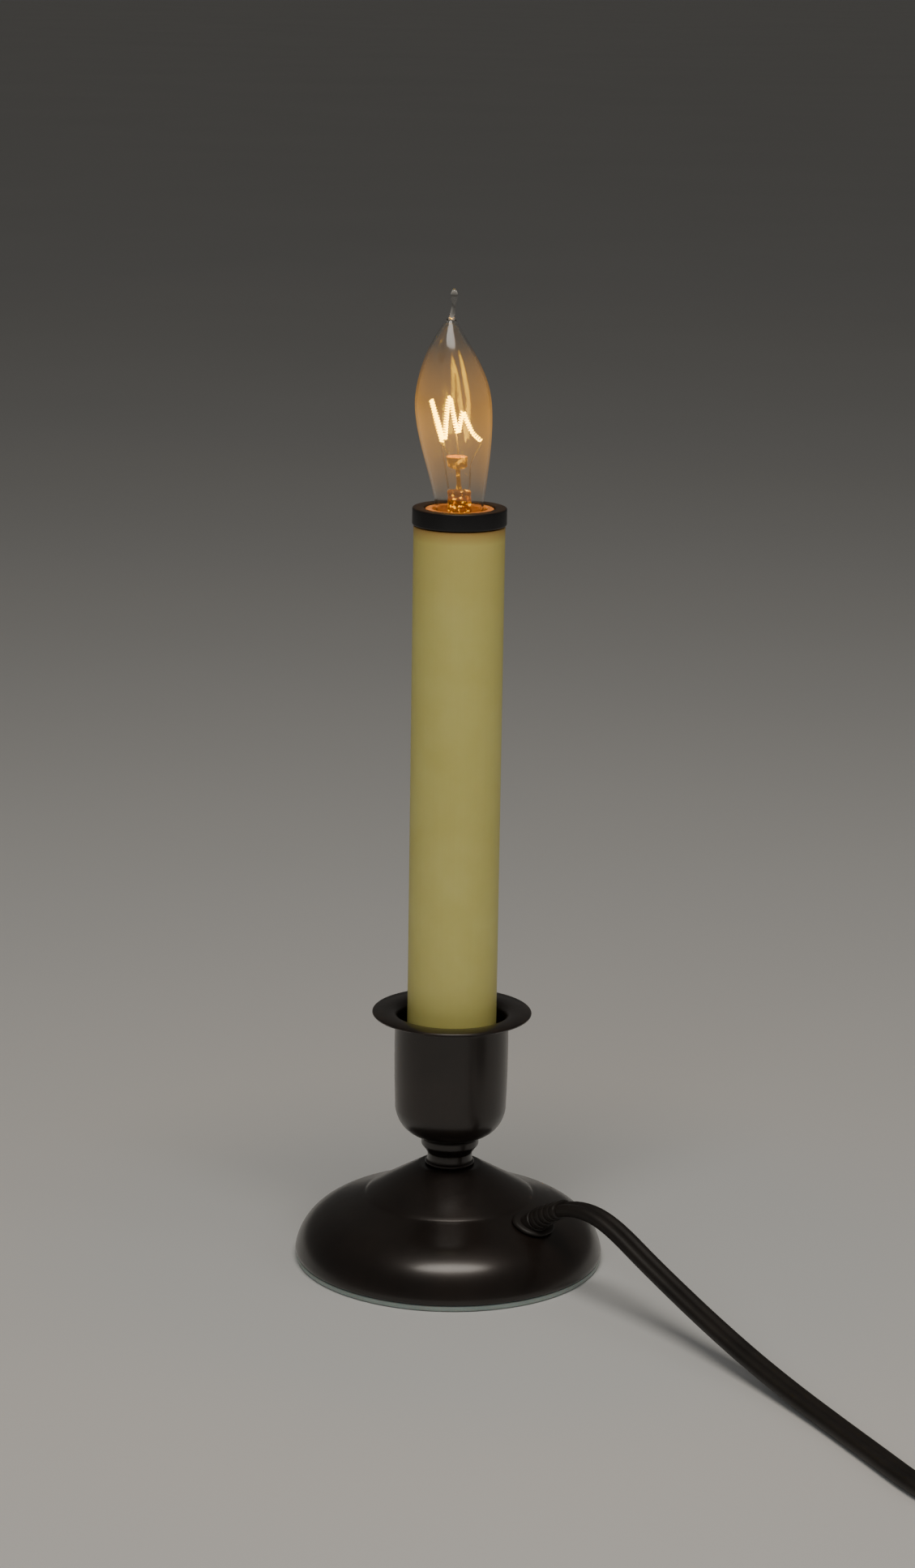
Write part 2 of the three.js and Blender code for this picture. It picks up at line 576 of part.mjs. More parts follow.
function buildBulb() {
  const outer = [];
  for (const z of [GLASS_BOTTOM, NECK_Z, 230, 235, 240, 246, WIDEST_Z, 260, 266, 271, 275, 278]) {
    outer.push([envelopeRadius(z), z]);
  }
  const inner = outer.filter(([r, z]) => r > 2.2 && z < 277).map(([r, z]) => [r - GLASS_WALL, z]);
  const tip = [[0.8, 279.6], [0.75, 283.6], [1.05, 285], [0.95, 286.5], [0, BULB_TOP]];
  const envelope = turned([...outer, ...tip, [0, 276.5], ...inner.reverse()], 24);
  add('bulb_glass', MATERIALS.glass, leaning(envelope));

  add('bulb_screw_shell', MATERIALS.brass, turned([
    ...threadOutline(),
    [6.35, 217.2],
    [6.35, 219.2],
    [6.0, 219.2],
    [6.0, 217.4],
    ...threadOutline(-0.35).reverse(),
  ], SMALL_ROUND));

  add('bulb_insulator', MATERIALS.black, turned([
    [1.9, 202.6],
    [1.9, 201.6],
    [2.6, 201.6],
    [4.4, 203.1],
    [4.4, 203.5],
    [1.9, 203.5],
  ], SMALL_ROUND));
  add('bulb_contact', MATERIALS.steel, turned([
    [0, CONTACT_Z],
    [1.2, CONTACT_Z],
    [1.9, CONTACT_Z + 0.7],
    [1.9, CONTACT_Z + 1.6],
    [1.5, CONTACT_Z + 1.6],
    [1.5, CONTACT_Z + 3.4],
    [0, CONTACT_Z + 3.4],
  ], 14));

  // The glass stem: a flare at the neck's foot, the flat press, and the arbor with its button.
  const PRESS_TOP = 230.6;
  const flare = turned([
    [0, 218.4],
    [4.5, 218.4],
    [3.4, 221],
    [2.4, 224],
    [0, 226],
  ], 16);
  const arbor = turned([
    [0, PRESS_TOP - 1],
    [0.8, PRESS_TOP - 1],
    [0.7, 236.4],
    [2.4, 237],
    [3.0, 238.2],
    [3.0, 239.4],
    [2.4, 240],
    [0, 240],
  ], 16);
  const press = block(0, 0, (222 + PRESS_TOP) / 2, 6.6, 2.6, PRESS_TOP - 222);
  const stem = solidOf(flare).add(solidOf(press)).add(solidOf(arbor));
  add('bulb_stem', MATERIALS.glass, leaning(geometryOf(stem)));

  // Lead wires stand beside the stem and carry the filament, which zigzags between hooked supports.
  const WIRE = 0.22;
  wire('bulb_lead_left', MATERIALS.steel, [
    [-3.0, 0, 231.3],
    [-3.7, 0, 238],
    [-4.2, -0.9, 243.8],
  ], WIRE, 4, leaning);
  wire('bulb_lead_right', MATERIALS.steel, [
    [3.0, 0, 231.3],
    [4.0, 0, 238],
    [7.2, -0.9, 243.8],
  ], WIRE, 4, leaning);
  wire('bulb_support_left', MATERIALS.steel, [
    [-2.6, 1.6, 240.6],
    [-5.3, 2.2, 247],
    [-6.4, 2.7, 255.0],
  ], WIRE, 3, leaning);
  wire('bulb_support_centre', MATERIALS.steel, [
    [0.5, 1.4, 240.6],
    [0.2, 3.0, 248],
    [-0.9, 2.2, 256],
  ], WIRE, 3, leaning);
  const FILAMENT = 0.35;
  const corners = [
    [-3.8, -1.5, 244.4],
    [-6.2, 1.6, 255.8],
    [-3.2, 1.2, 244.6],
    [-1.0, 0.2, 256.8],
    [0.8, 1.4, 246.4],
    [2.6, 0.4, 252.8],
    [5.0, 0.0, 246.6],
    [7.2, -1.5, 244.7],
  ];
  wire('bulb_filament', MATERIALS.glow, corners, FILAMENT, 28, leaning);
}

// One side of the bulb's screw shell, from its crimped foot to its skirt.
function threadOutline(offset = 0) {
  const STEPS = 3;
  const TURNS = 4;
  const DEPTH = 0.45;
  const BOTTOM = 205.2;
  const outline = [[4.9 + offset, 203.9]];
  for (let i = 0; i <= TURNS * STEPS; i += 1) {
    const wave = 0.5 - 0.5 * Math.cos((i / STEPS) * 2 * Math.PI);
    outline.push([BULB_THREAD_RADIUS - DEPTH + DEPTH * wave + offset, BOTTOM + (i / STEPS) * THREAD_PITCH]);
  }
  return outline;
}

// ---------------------------------------------------------------- lead, switch, coil and plug
const tailCurve = new LevelCurve(TAIL_POINTS);

function buildCord() {
  const lead = new LevelCurve(LEAD_POINTS, { from: RELIEF_OUTER_END + GAP });
  cordTube('cord_lead', lead, 30);
  const quarter = (u) => THREE.MathUtils.smoothstep(u, 0, 1) * Math.PI / 2;
  cordTube('cord_middle', new LevelCurve(MIDDLE_POINTS, { roll: quarter }), 8);
  cordTube('cord_tail', tailCurve, 5);

  const coil = tube(COIL_INNER, COIL_OUTER, COIL_BOTTOM, COIL_TOP, 36);
  add('cord_coil', MATERIALS.cord, coil.translate(COIL_CENTRE.x, COIL_CENTRE.y, 0));

  // The tie: a flat band round the coil's bundle of turns.
  const BAND = 0.6;
  const BAND_WIDTH = 6;
  const wide = COIL_OUTER - COIL_INNER + 2 * GAP;
  const tall = COIL_TOP - COIL_BOTTOM + 2 * GAP;
  const middle = (COIL_OUTER + COIL_INNER) / 2;
  const height = (COIL_TOP + COIL_BOTTOM) / 2;
  const outer = solidOf(block(middle + 0.2, 0, height, wide + 2 * BAND + 0.4, BAND_WIDTH, tall + BAND));
  const inner = solidOf(block(middle + 0.2, 0, height, wide + 0.4, BAND_WIDTH + 2, tall - BAND));
  const band = geometryOf(outer.subtract(inner)).rotateZ(THREE.MathUtils.degToRad(TIE_ANGLE));
  add('cord_tie', MATERIALS.black, band.translate(COIL_CENTRE.x, COIL_CENTRE.y, 0));
}

function roundedBar(length, width, bottom, top, corner) {
  const [x, y] = [length / 2, width / 2];
  const outline = new THREE.Shape();
  outline.moveTo(-x + corner, -y);
  outline.lineTo(x - corner, -y);
  outline.absarc(x - corner, -y + corner, corner, -Math.PI / 2, 0);
  outline.absarc(x - corner, y - corner, corner, 0, Math.PI / 2);
  outline.absarc(-x + corner, y - corner, corner, Math.PI / 2, Math.PI);
  outline.absarc(-x + corner, -y + corner, corner, Math.PI, Math.PI * 1.5);
  const options = { depth: top - bottom, bevelEnabled: false, curveSegments: 4 };
  return new THREE.ExtrudeGeometry(outline, options).translate(0, 0, bottom);
}

function buildSwitch() {
  const place = (geometry) => geometry.translate(SWITCH_CENTRE.x, SWITCH_CENTRE.y, 0);
  const top = SWITCH_BOTTOM + SWITCH_HEIGHT;
  const wall = 2.2;
  const PIN_RADIUS = 1.2;
  const PIN_Z = 8.6;
  const WINDOW = [15.2, 9.4];
  const pocketWidth = SWITCH_WIDTH - 2 * wall;
  const lower = solidOf(roundedBar(SWITCH_LENGTH, SWITCH_WIDTH, SWITCH_BOTTOM, SWITCH_SPLIT - GAP / 2, 6))
    .subtract(solidOf(block(0, 0, 4.9, 26, pocketWidth, 5)));
  const post = (side) => solidOf(block(0, side * 5.6, 4.45, 3.4, 1.6, 5.3));
  const screwHole = solidOf(rod(1.6, SWITCH_BOTTOM - 1, SWITCH_SPLIT + 1, 12).translate(-17, 0, 0));
  const lowerShell = lower.add(post(1)).add(post(-1)).subtract(screwHole);
  add('switch_lower_shell', MATERIALS.black, place(geometryOf(lowerShell)));

  const upper = solidOf(roundedBar(SWITCH_LENGTH, SWITCH_WIDTH, SWITCH_SPLIT + GAP / 2, top, 6))
    .subtract(solidOf(block(0, 0, SWITCH_SPLIT + 2, 24, pocketWidth, 5)))
    .subtract(solidOf(block(0, 0, top, WINDOW[0], WINDOW[1], 8)));
  add('switch_upper_shell', MATERIALS.black, place(geometryOf(upper)));

  // The rocker: a bowed cap on a pivot pin, pressed down at one end.
  const cap = new THREE.Shape();
  cap.moveTo(-6.6, -1.6);
  cap.lineTo(6.6, -1.6);
  cap.lineTo(6.6, 4.6);
  cap.quadraticCurveTo(0, 2.6, -6.6, 4.6);
  const capBar = new THREE.ExtrudeGeometry(cap, { depth: 8.4, bevelEnabled: false, curveSegments: 6 });
  capBar.translate(0, 0, -4.2).rotateX(Math.PI / 2);
  const pin = rod(PIN_RADIUS, -6.3, 6.3, 12).rotateX(Math.PI / 2);
  const rocker = geometryOf(solidOf(capBar).add(solidOf(pin)));
  rocker.rotateY(THREE.MathUtils.degToRad(ROCKER_TILT)).translate(0, 0, PIN_Z);
  add('switch_rocker', MATERIALS.black, place(rocker));

  const screw = rod(1.3, SWITCH_BOTTOM + 0.6, SWITCH_SPLIT - GAP, 12).translate(-17, 0, 0);
  add('switch_screw', MATERIALS.steel, place(screw));
}

function buildPlug() {
  const LENGTH = 23;
  const NECK = 9;
  const WIDTH = 24;
  const THICKNESS = 13;
  const BLADE_LENGTH = 16;
  const along = tailCurve.getTangentAt(1).setZ(0).normalize();
  const rear = tailCurve.getPointAt(1).addScaledVector(along, 1.5 * GAP);
  const turn = Math.atan2(along.y, along.x);
  const place = (geometry) => geometry.rotateZ(turn).translate(rear.x, rear.y, rear.z);
  // Along local +X: the cord's neck, then the body. Half width and half thickness at each station.
  const stations = [
    [0, 4.6, 3.1],
    [0.28, 5.4, 3.9],
    [0.36, 10.6, 5.8],
    [0.6, 12, 6.5],
    [0.94, 12, 6.5],
    [1, 11, 5.9],
  ];
  const sizeAt = (t) => {
    const next = Math.max(1, stations.findIndex(([station]) => station >= t));
    const [a, b] = [stations[next - 1], stations[next]];
    const mix = (t - a[0]) / (b[0] - a[0]);
    return [THREE.MathUtils.lerp(a[1], b[1], mix), THREE.MathUtils.lerp(a[2], b[2], mix)];
  };
  const body = new THREE.CylinderGeometry(1, 1, 1, 20, 12).rotateZ(-Math.PI / 2).translate(0.5, 0, 0);
  const position = body.attributes.position;
  const square = (v) => Math.sign(v) * Math.abs(v) ** 0.6;
  for (let i = 0; i < position.count; i += 1) {
    const t = position.getX(i);
    const [width, thickness] = sizeAt(t);
    const y = square(position.getY(i)) * width;
    const z = square(position.getZ(i)) * thickness;
    position.setXYZ(i, t * (LENGTH + NECK), y, z);
  }
  const BLADE_WIDTH = 6.35;
  const BLADE_THICKNESS = 1.5;
  const BLADE_OFFSET = 6.35;
  const room = (size) => size + 2 * GAP;
  const pocket = (side) => solidOf(
    block(LENGTH + NECK, side * BLADE_OFFSET, 0, room(6), room(BLADE_THICKNESS), room(BLADE_WIDTH)),
  );
  const plug = solidOf(body).subtract(pocket(1)).subtract(pocket(-1));
  add('plug_body', MATERIALS.cord, place(geometryOf(plug)));

  for (const [name, side] of [['plug_blade_line', 1], ['plug_blade_neutral', -1]]) {
    const half = BLADE_WIDTH / 2;
    const outline = new THREE.Shape();
    outline.moveTo(-3, -half);
    outline.lineTo(BLADE_LENGTH - 2, -half);
    outline.lineTo(BLADE_LENGTH, -half + 1.6);
    outline.lineTo(BLADE_LENGTH, half - 1.6);
    outline.lineTo(BLADE_LENGTH - 2, half);
    outline.lineTo(-3, half);
    const hole = new THREE.Path();
    hole.absarc(BLADE_LENGTH - 4.2, 0, 1.6, 0, Math.PI * 2, true);
    outline.holes.push(hole);
    const options = { depth: BLADE_THICKNESS, bevelEnabled: false, curveSegments: 6 };
    const strip = new THREE.ExtrudeGeometry(outline, options);
    strip.translate(LENGTH + NECK, 0, -BLADE_THICKNESS / 2).rotateX(Math.PI / 2);
    strip.translate(0, side * BLADE_OFFSET, 0);
    add(name, MATERIALS.brass, place(strip));
  }
}

buildBase();
buildStem();
buildSocket();
buildCandle();
buildWires();
buildBulb();
buildCord();
buildSwitch();
buildPlug();

export default group;
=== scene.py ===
"""Electric window candle: dome base, neck, flanged cup, ivory sleeve, lit flame bulb, and its flat lead."""
import math

import bmesh
import bpy
from mathutils import Matrix, Vector


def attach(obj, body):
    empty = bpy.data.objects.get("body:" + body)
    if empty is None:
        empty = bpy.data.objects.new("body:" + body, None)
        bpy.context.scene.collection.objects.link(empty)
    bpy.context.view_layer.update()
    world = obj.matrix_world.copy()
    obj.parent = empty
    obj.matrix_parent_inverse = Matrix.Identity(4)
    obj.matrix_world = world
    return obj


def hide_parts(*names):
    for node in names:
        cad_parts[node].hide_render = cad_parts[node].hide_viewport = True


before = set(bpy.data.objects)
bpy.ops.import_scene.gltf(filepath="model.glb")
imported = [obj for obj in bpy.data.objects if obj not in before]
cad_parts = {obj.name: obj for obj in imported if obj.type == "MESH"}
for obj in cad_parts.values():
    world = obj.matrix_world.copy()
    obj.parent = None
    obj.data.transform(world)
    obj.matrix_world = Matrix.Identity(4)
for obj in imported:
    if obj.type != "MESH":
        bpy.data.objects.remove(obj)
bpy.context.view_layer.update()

MM = 0.001
GAP = 0.3                    # mm between touching pieces
ROUND = 144                  # segments round a large turned piece
ON_AXIS = 1e-6               # mm: a point nearer the axis than this lies on it

# ---- the lead's route, in metres
LEAD_POINTS = [
    (0.0244, -0.0191, 0.0172), (0.0294, -0.0233, 0.0222), (0.0340, -0.0274, 0.0252),
    (0.0390, -0.0320, 0.0264), (0.0440, -0.0370, 0.0257), (0.0490, -0.0425, 0.0233),
    (0.0560, -0.0510, 0.0188), (0.0635, -0.0605, 0.0144), (0.0730, -0.0740, 0.0097),
    (0.0825, -0.0890, 0.0061), (0.0920, -0.1050, 0.0036), (0.1015, -0.1225, 0.0023),
    (0.1105, -0.1410, 0.0020), (0.1200, -0.1610, 0.0020), (0.1240, -0.1675, 0.0021),
    (0.1290, -0.1723, 0.0025), (0.1355, -0.1757, 0.0034), (0.1425, -0.1774, 0.0046),
    (0.1497, -0.1778, 0.0056),
]
MIDDLE_POINTS = [
    (0.1943, -0.1778, 0.0056), (0.2005, -0.1774, 0.0055), (0.2065, -0.1765, 0.0053),
    (0.2125, -0.1750, 0.0051), (0.2185, -0.1726, 0.0049), (0.2245, -0.1695, 0.0048),
    (0.2302, -0.1657, 0.0047),
]
TAIL_POINTS = [
    (0.2368, -0.1516, 0.0185), (0.2416, -0.1430, 0.0204), (0.2449, -0.1337, 0.0223),
    (0.2460, -0.1243, 0.0226),
]
CORD_WIDTH = 7.1 * MM
CORD_THICKNESS = 3.7 * MM
COIL_CENTRE = Vector((0.209, -0.122, 0))
COIL_BOTTOM = 1.0 * MM
COIL_PITCH = 3.95 * MM       # from one turn to the next within a layer
COIL_LEAST_RADIUS = 32.6 * MM
TURNS_IN_COIL = 6
TIE_ANGLE = math.radians(120)
ON_EDGE = math.pi / 2        # the roll that stands the flat lead on its edge


# ---- meshes
def turn_outward(mesh):
    bm = bmesh.new()
    bm.from_mesh(mesh)
    bmesh.ops.recalc_face_normals(bm, faces=bm.faces)
    bm.to_mesh(mesh)
    bm.free()


def scene_object(name, data):
    made = bpy.data.objects.new(name, data)
    bpy.context.scene.collection.objects.link(made)
    return made


def solid_object(name, part):
    """An object of the part's vertices, in metres, and faces, with its faces turned outward."""
    verts, faces = part
    mesh = bpy.data.meshes.new(name)
    mesh.from_pydata([tuple(v) for v in verts], [], faces)
    mesh.validate()
    turn_outward(mesh)
    return scene_object(name, mesh)


def shade(piece, sharp):
    """Smooth faces, with an edge wherever two of them meet at more than sharp degrees."""
    for polygon in piece.data.polygons:
        polygon.use_smooth = True
    piece.data.set_sharp_from_angle(angle=math.radians(sharp))


def make_piece(name, part, finish, nodes, body="lamp", sharp=40):
    """A visible piece: its shape, finish, the nodes it stands for and the body it rides on."""
    piece = solid_object(name, part)
    shade(piece, sharp)
    piece.data.materials.append(MATERIALS[finish])
    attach(piece, body)
    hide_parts(*nodes)
    return piece


def cut(piece, part):
    """Cuts the part's closed mesh out of the piece."""
    cutter = solid_object("cutter", part)
    modifier = piece.modifiers.new("Boolean", "BOOLEAN")
    modifier.operation = "DIFFERENCE"
    modifier.object = cutter
    modifier.solver = "EXACT"
    evaluated = piece.evaluated_get(bpy.context.evaluated_depsgraph_get())
    mesh = bpy.data.meshes.new_from_object(evaluated)
    piece.modifiers.clear()
    piece.data = mesh
    bpy.data.objects.remove(cutter)


def rounded(outline, radius, steps=4):
    """The outline with each corner that has room rounded, in the outline's own units."""
    points = [Vector(p) for p in outline]
    result = [points[0]]
    for before, corner, after in zip(points, points[1:], points[2:]):
        into = before - corner
        out = after - corner
        if into.length < 1e-6 or out.length < 1e-6 or into.angle(-out, 0) < math.radians(14):
            result.append(corner)
            continue
        reach = min(radius, 0.45 * into.length, 0.45 * out.length)
        start = corner + into.normalized() * reach
        end = corner + out.normalized() * reach
        result += bezier(start, corner, end, steps + 1)
    return [*result, points[-1]]


def ring_outline(outline, radius, steps=4):
    """A closed outline, for a ring or a tube, with its corners rounded."""
    return rounded([*outline, outline[0], outline[1]], radius, steps)[1:-1]


def bands(rows, count, closed=False):
    """Faces between neighbouring rows of count vertices each; closed also joins the last row to the first."""
    faces = []
    for i in range(rows if closed else rows - 1):
        j = (i + 1) % rows
        for k in range(count):
            m = (k + 1) % count
            faces.append((i * count + k, i * count + m, j * count + m, j * count + k))
    return faces


def capped(rows, count):
    """Faces between the rows, and a cap on the first row and on the last."""
    last = (rows - 1) * count
    return [*bands(rows, count), tuple(range(count)), tuple(last + k for k in range(count))]


def lathe(outline, segments=ROUND, centre=lambda z: (0, 0)):
    """Vertices and faces of a closed outline of (radius, height) in millimetres turned round +Z. It may touch
    the axis. centre(z) is where the axis passes, for a bent blown piece."""
    verts, faces, rows = [], [], []
    for r, z in outline:
        x, y = centre(z)
        count = 1 if r < ON_AXIS else segments
        rows.append(list(range(len(verts), len(verts) + count)))
        for k in range(count):
            a = 2 * math.pi * k / segments
            verts.append(((x + r * math.cos(a)) * MM, (y + r * math.sin(a)) * MM, z * MM))
    for low, high in zip(rows, [*rows[1:], rows[0]]):
        if len(low) == len(high) == 1:
            continue
        for k in range(segments):
            n = (k + 1) % segments
            if len(high) == 1:
                faces.append((low[k], low[n], high[0]))
            elif len(low) == 1:
                faces.append((low[0], high[n], high[k]))
            else:
                faces.append((low[k], low[n], high[n], high[k]))
    return verts, faces


def offset_outline(outline, distance):
    """The outline moved to its left by a distance."""
    moved = []
    for i, (r, z) in enumerate(outline):
        before = Vector(outline[max(i - 1, 0)])
        after = Vector(outline[min(i + 1, len(outline) - 1)])
        along = (after - before).normalized()
        moved.append((r - along.y * distance, z + along.x * distance))
    return moved


def bezier(start, middle, end, count):
    """Points of the quadratic curve from start to end, pulled towards middle."""
    return [(1 - t) ** 2 * Vector(start) + 2 * t * (1 - t) * Vector(middle) + t * t * Vector(end)
            for t in (i / (count - 1) for i in range(count))]


def spline(points, spacing):
    """Points along a centripetal Catmull-Rom curve, close to spacing apart."""
    p = [Vector(q) for q in points]
    p = [2 * p[0] - p[1], *p, 2 * p[-1] - p[-2]]
    dense = []
    for a, b, c, d in zip(p, p[1:], p[2:], p[3:]):
        t1 = (b - a).length ** 0.5
        t2 = t1 + (c - b).length ** 0.5
        t3 = t2 + (d - c).length ** 0.5
        for i in range(24):
            t = t1 + (t2 - t1) * i / 24
            along = (t - t1) / (t2 - t1)
            a2 = b.lerp(c, along)
            b1 = a.lerp(b, t / t1).lerp(a2, t / t2)
            b2 = a2.lerp(c.lerp(d, (t - t2) / (t3 - t2)), (t - t1) / (t3 - t1))
            dense.append(b1.lerp(b2, along))
    dense.append(p[-2])
    return evenly(dense, spacing)


def evenly(dense, spacing):
    """Evenly spaced points, close to spacing apart, along a line of points."""
    lengths = [0]
    for a, b in zip(dense, dense[1:]):
        lengths.append(lengths[-1] + (b - a).length)
    count = max(2, round(lengths[-1] / spacing))
    result = []
    k = 0
    for i in range(count + 1):
        s = lengths[-1] * i / count
        while k < len(dense) - 2 and lengths[k + 1] < s:
            k += 1
        span = lengths[k + 1] - lengths[k]
        result.append(dense[k].lerp(dense[k + 1], (s - lengths[k]) / span if span else 0))
    return result


def tangents(path):
    return [(path[min(i + 1, len(path) - 1)] - path[max(i - 1, 0)]).normalized() for i in range(len(path))]


def sweep(path, section, rolls=None, sizes=None):
    """A closed tube whose section of (sideways, up) points follows the path. Its wide side stays level, or
    turns by the roll at each point. sizes scales the section at each point."""
    verts = []
    for i, (point, tangent) in enumerate(zip(path, tangents(path))):
        side = Vector((0, 0, 1)).cross(tangent)
        side = side.normalized() if side.length > 1e-4 else Vector((1, 0, 0))
        if rolls:
            side = Matrix.Rotation(rolls[i], 3, tangent) @ side
        up = tangent.cross(side)
        size = sizes[i] if sizes else 1
        for x, y in section:
            verts.append(point + side * x * size + up * y * size)
    return verts, capped(len(path), len(section))


def circle(radius, count):
    return superellipse(radius, radius, 2, count)


def superellipse(width, height, power, count):
    """Half width, half height, and how square: 2 is an ellipse."""
    points = []
    for k in range(count):
        a = 2 * math.pi * k / count
        c, s = math.cos(a), math.sin(a)
        points.append((math.copysign(abs(c) ** (2 / power), c) * width,
                       math.copysign(abs(s) ** (2 / power), s) * height))
    return points


def lofted(sections, count):
    """A closed solid along +Z from sections of (height, half width, half depth, squareness), in mm."""
    verts = []
    for z, wide, deep, power in sections:
        verts += [(x * MM, y * MM, z * MM) for x, y in superellipse(wide, deep, power, count)]
    return verts, capped(len(sections), count)


def stacked(layers, outline):
    """A closed solid from layers of (height, inset) of a flat outline, in millimetres."""
    verts = []
    for z, inset in layers:
        for x, y in outline:
            away = Vector((x, y)).normalized() * inset
            verts.append(((x - away.x) * MM, (y - away.y) * MM, z * MM))
    return verts, capped(len(layers), len(outline))


def box_part(x, y, z, length, width, height):
    """A box about a centre, in millimetres."""
    sides = ((1, 1), (-1, 1), (-1, -1), (1, -1))
    outline = [(x + sx * length / 2, y + sy * width / 2) for sx, sy in sides]
    return stacked([(z - height / 2, 0), (z + height / 2, 0)], outline)


def rounded_rectangle(length, width, corner, steps=10):
    points = []
    for cx, cy, start in ((1, 1, 0), (-1, 1, 90), (-1, -1, 180), (1, -1, 270)):
        for i in range(steps + 1):
            a = math.radians(start + 90 * i / steps)
            points.append((cx * (length / 2 - corner) + corner * math.cos(a),
                           cy * (width / 2 - corner) + corner * math.sin(a)))
    return points


def joined(*parts):
    verts, faces = [], []
    for v, f in parts:
        base = len(verts)
        verts.extend(v)
        faces.extend(tuple(i + base for i in face) for face in f)
    return verts, faces


def placed(part, matrix):
    verts, faces = part
    return [matrix @ Vector(v) for v in verts], faces


def smooth(t):
    """A step from 0 to 1 that starts and ends gently."""
    t = min(max(t, 0), 1)
    return t * t * (3 - 2 * t)


# ---- materials
class Nodes:
    """A material's node tree, built up by short calls."""

    def __init__(self, name, **settings):
        self.material = bpy.data.materials.new(name)
        self.material.use_nodes = True
        self.tree = self.material.node_tree
        self.shader = self.tree.nodes["Principled BSDF"]
        self.output = self.tree.nodes["Material Output"]
        for key, value in settings.items():
            self.shader.inputs[key.replace("_", " ")].default_value = value
        self.position = self.add("ShaderNodeTexCoord").outputs["Object"]

    def feed(self, node, values):
        """Links each input that is given a socket and sets each that is given a value."""
        for key, value in values.items():
            if isinstance(value, bpy.types.NodeSocket):
                self.tree.links.new(value, node.inputs[key])
            else:
                node.inputs[key].default_value = value

    def add(self, kind, values=None, **settings):
        node = self.tree.nodes.new(kind)
        for key, value in settings.items():
            setattr(node, key, value)
        self.feed(node, values or {})
        return node

    def link(self, source, name):
        self.tree.links.new(source, self.shader.inputs[name])

    def stretched(self, x, y, z):
        return self.add("ShaderNodeMapping", {"Vector": self.position, "Scale": (x, y, z)}).outputs["Vector"]

    def noise(self, scale, detail=4, rough=0.5, vector=None):
        values = {"Vector": vector or self.position, "Scale": scale, "Detail": detail, "Roughness": rough}
        return self.add("ShaderNodeTexNoise", values).outputs["Fac"]

    def ramp(self, source, stops):
        node = self.add("ShaderNodeValToRGB", {"Fac": source})
        for element, (place, colour) in zip(node.color_ramp.elements, stops):
            element.position = place
            element.color = (*colour, 1)
        return node.outputs["Color"]

    def span(self, source, low, high, from_low=0.0, from_high=1.0):
        values = {"Value": source, "From Min": from_low, "From Max": from_high, "To Min": low, "To Max": high}
        return self.add("ShaderNodeMapRange", values).outputs["Result"]

    def mix(self, factor, a, b):
        node = self.add("ShaderNodeMix", data_type="RGBA")
        self.feed(node, {0: factor, 6: a, 7: b})
        return node.outputs[2]

    def math(self, operation, a, b):
        node = self.add("ShaderNodeMath", operation=operation)
        self.feed(node, {0: a, 1: b})
        return node.outputs[0]

    def bump(self, height, strength, distance):
        values = {"Height": height, "Strength": strength, "Distance": distance}
        self.link(self.add("ShaderNodeBump", values).outputs["Normal"], "Normal")


def bronze_paint():
    """Dark oil-rubbed bronze enamel: nearly black brown, satin, with orange peel and a warm rub on edges."""
    n = Nodes("bronze_paint", Metallic=0.45, Coat_Weight=0.75, Coat_Roughness=0.22)
    cloud = n.noise(38, 5, 0.6)
    base = n.ramp(cloud, [(0.3, (0.0125, 0.0085, 0.0068)), (0.7, (0.026, 0.0175, 0.0135))])
    flecks = n.ramp(n.noise(2600, 2), [(0.66, (0, 0, 0)), (0.74, (1, 1, 1))])
    flecked = n.mix(n.math("MULTIPLY", flecks, 0.25), base, (0.075, 0.045, 0.028, 1))
    edge = n.add("ShaderNodeNewGeometry").outputs["Pointiness"]
    worn = n.math("MULTIPLY", n.span(edge, 0, 1, 0.52, 0.6), n.span(n.noise(300, 3), 0, 0.7, 0.45, 0.65))
    n.link(n.mix(worn, flecked, (0.13, 0.07, 0.036, 1)), "Base Color")
    n.link(n.span(n.noise(120, 4, 0.65), 0.3, 0.44), "Roughness")
    n.bump(n.noise(700, 3, 0.4), 0.18, 0.00006)
    return n.material


def ivory_plastic():
    """Extruded candle cover: warm ivory, faintly streaked along its length, with a painted glow from the
    bulb: warmer towards its top and a dark orange band just under the collar.
    """
    n = Nodes("ivory_plastic", Subsurface_Weight=0.18, Subsurface_Scale=0.004,
              Subsurface_Radius=(1.0, 0.6, 0.25), Specular_IOR_Level=0.4)
    streak = n.noise(14, 4, 0.6, n.stretched(60, 60, 1.2))
    mottle = n.noise(55, 4, 0.55)
    base = n.mix(n.span(mottle, 0, 1, 0.3, 0.7), (0.70, 0.63, 0.185, 1), (0.77, 0.705, 0.235, 1))
    streaked = n.mix(n.math("MULTIPLY", streak, 0.25), base, (0.66, 0.54, 0.155, 1))
    height = n.add("ShaderNodeSeparateXYZ", {"Vector": n.position}).outputs["Z"]
    # painted glow: a dark orange band just under the collar, where the bulb's light shows through the plastic
    painted_glow_band = n.span(height, 0, 0.85, 0.2165, 0.2205)
    # painted glow: the plastic turns warmer towards its top
    painted_glow = n.span(height, 0, 0.35, 0.190, 0.2190)
    with_painted_glow = n.mix(painted_glow, streaked, (0.68, 0.49, 0.12, 1))
    shaded = n.mix(n.span(height, 0.1, 0, 0.074, 0.104), with_painted_glow, (0.42, 0.35, 0.10, 1))
    n.link(n.mix(painted_glow_band, shaded, (0.42, 0.2, 0.06, 1)), "Base Color")
    n.link(n.span(n.noise(90, 3), 0.38, 0.5), "Roughness")
    ridges = n.noise(26, 3, 0.5, n.stretched(90, 90, 1))
    n.bump(n.mix(0.35, ridges, n.noise(1400, 2)), 0.12, 0.0001)
    return n.material


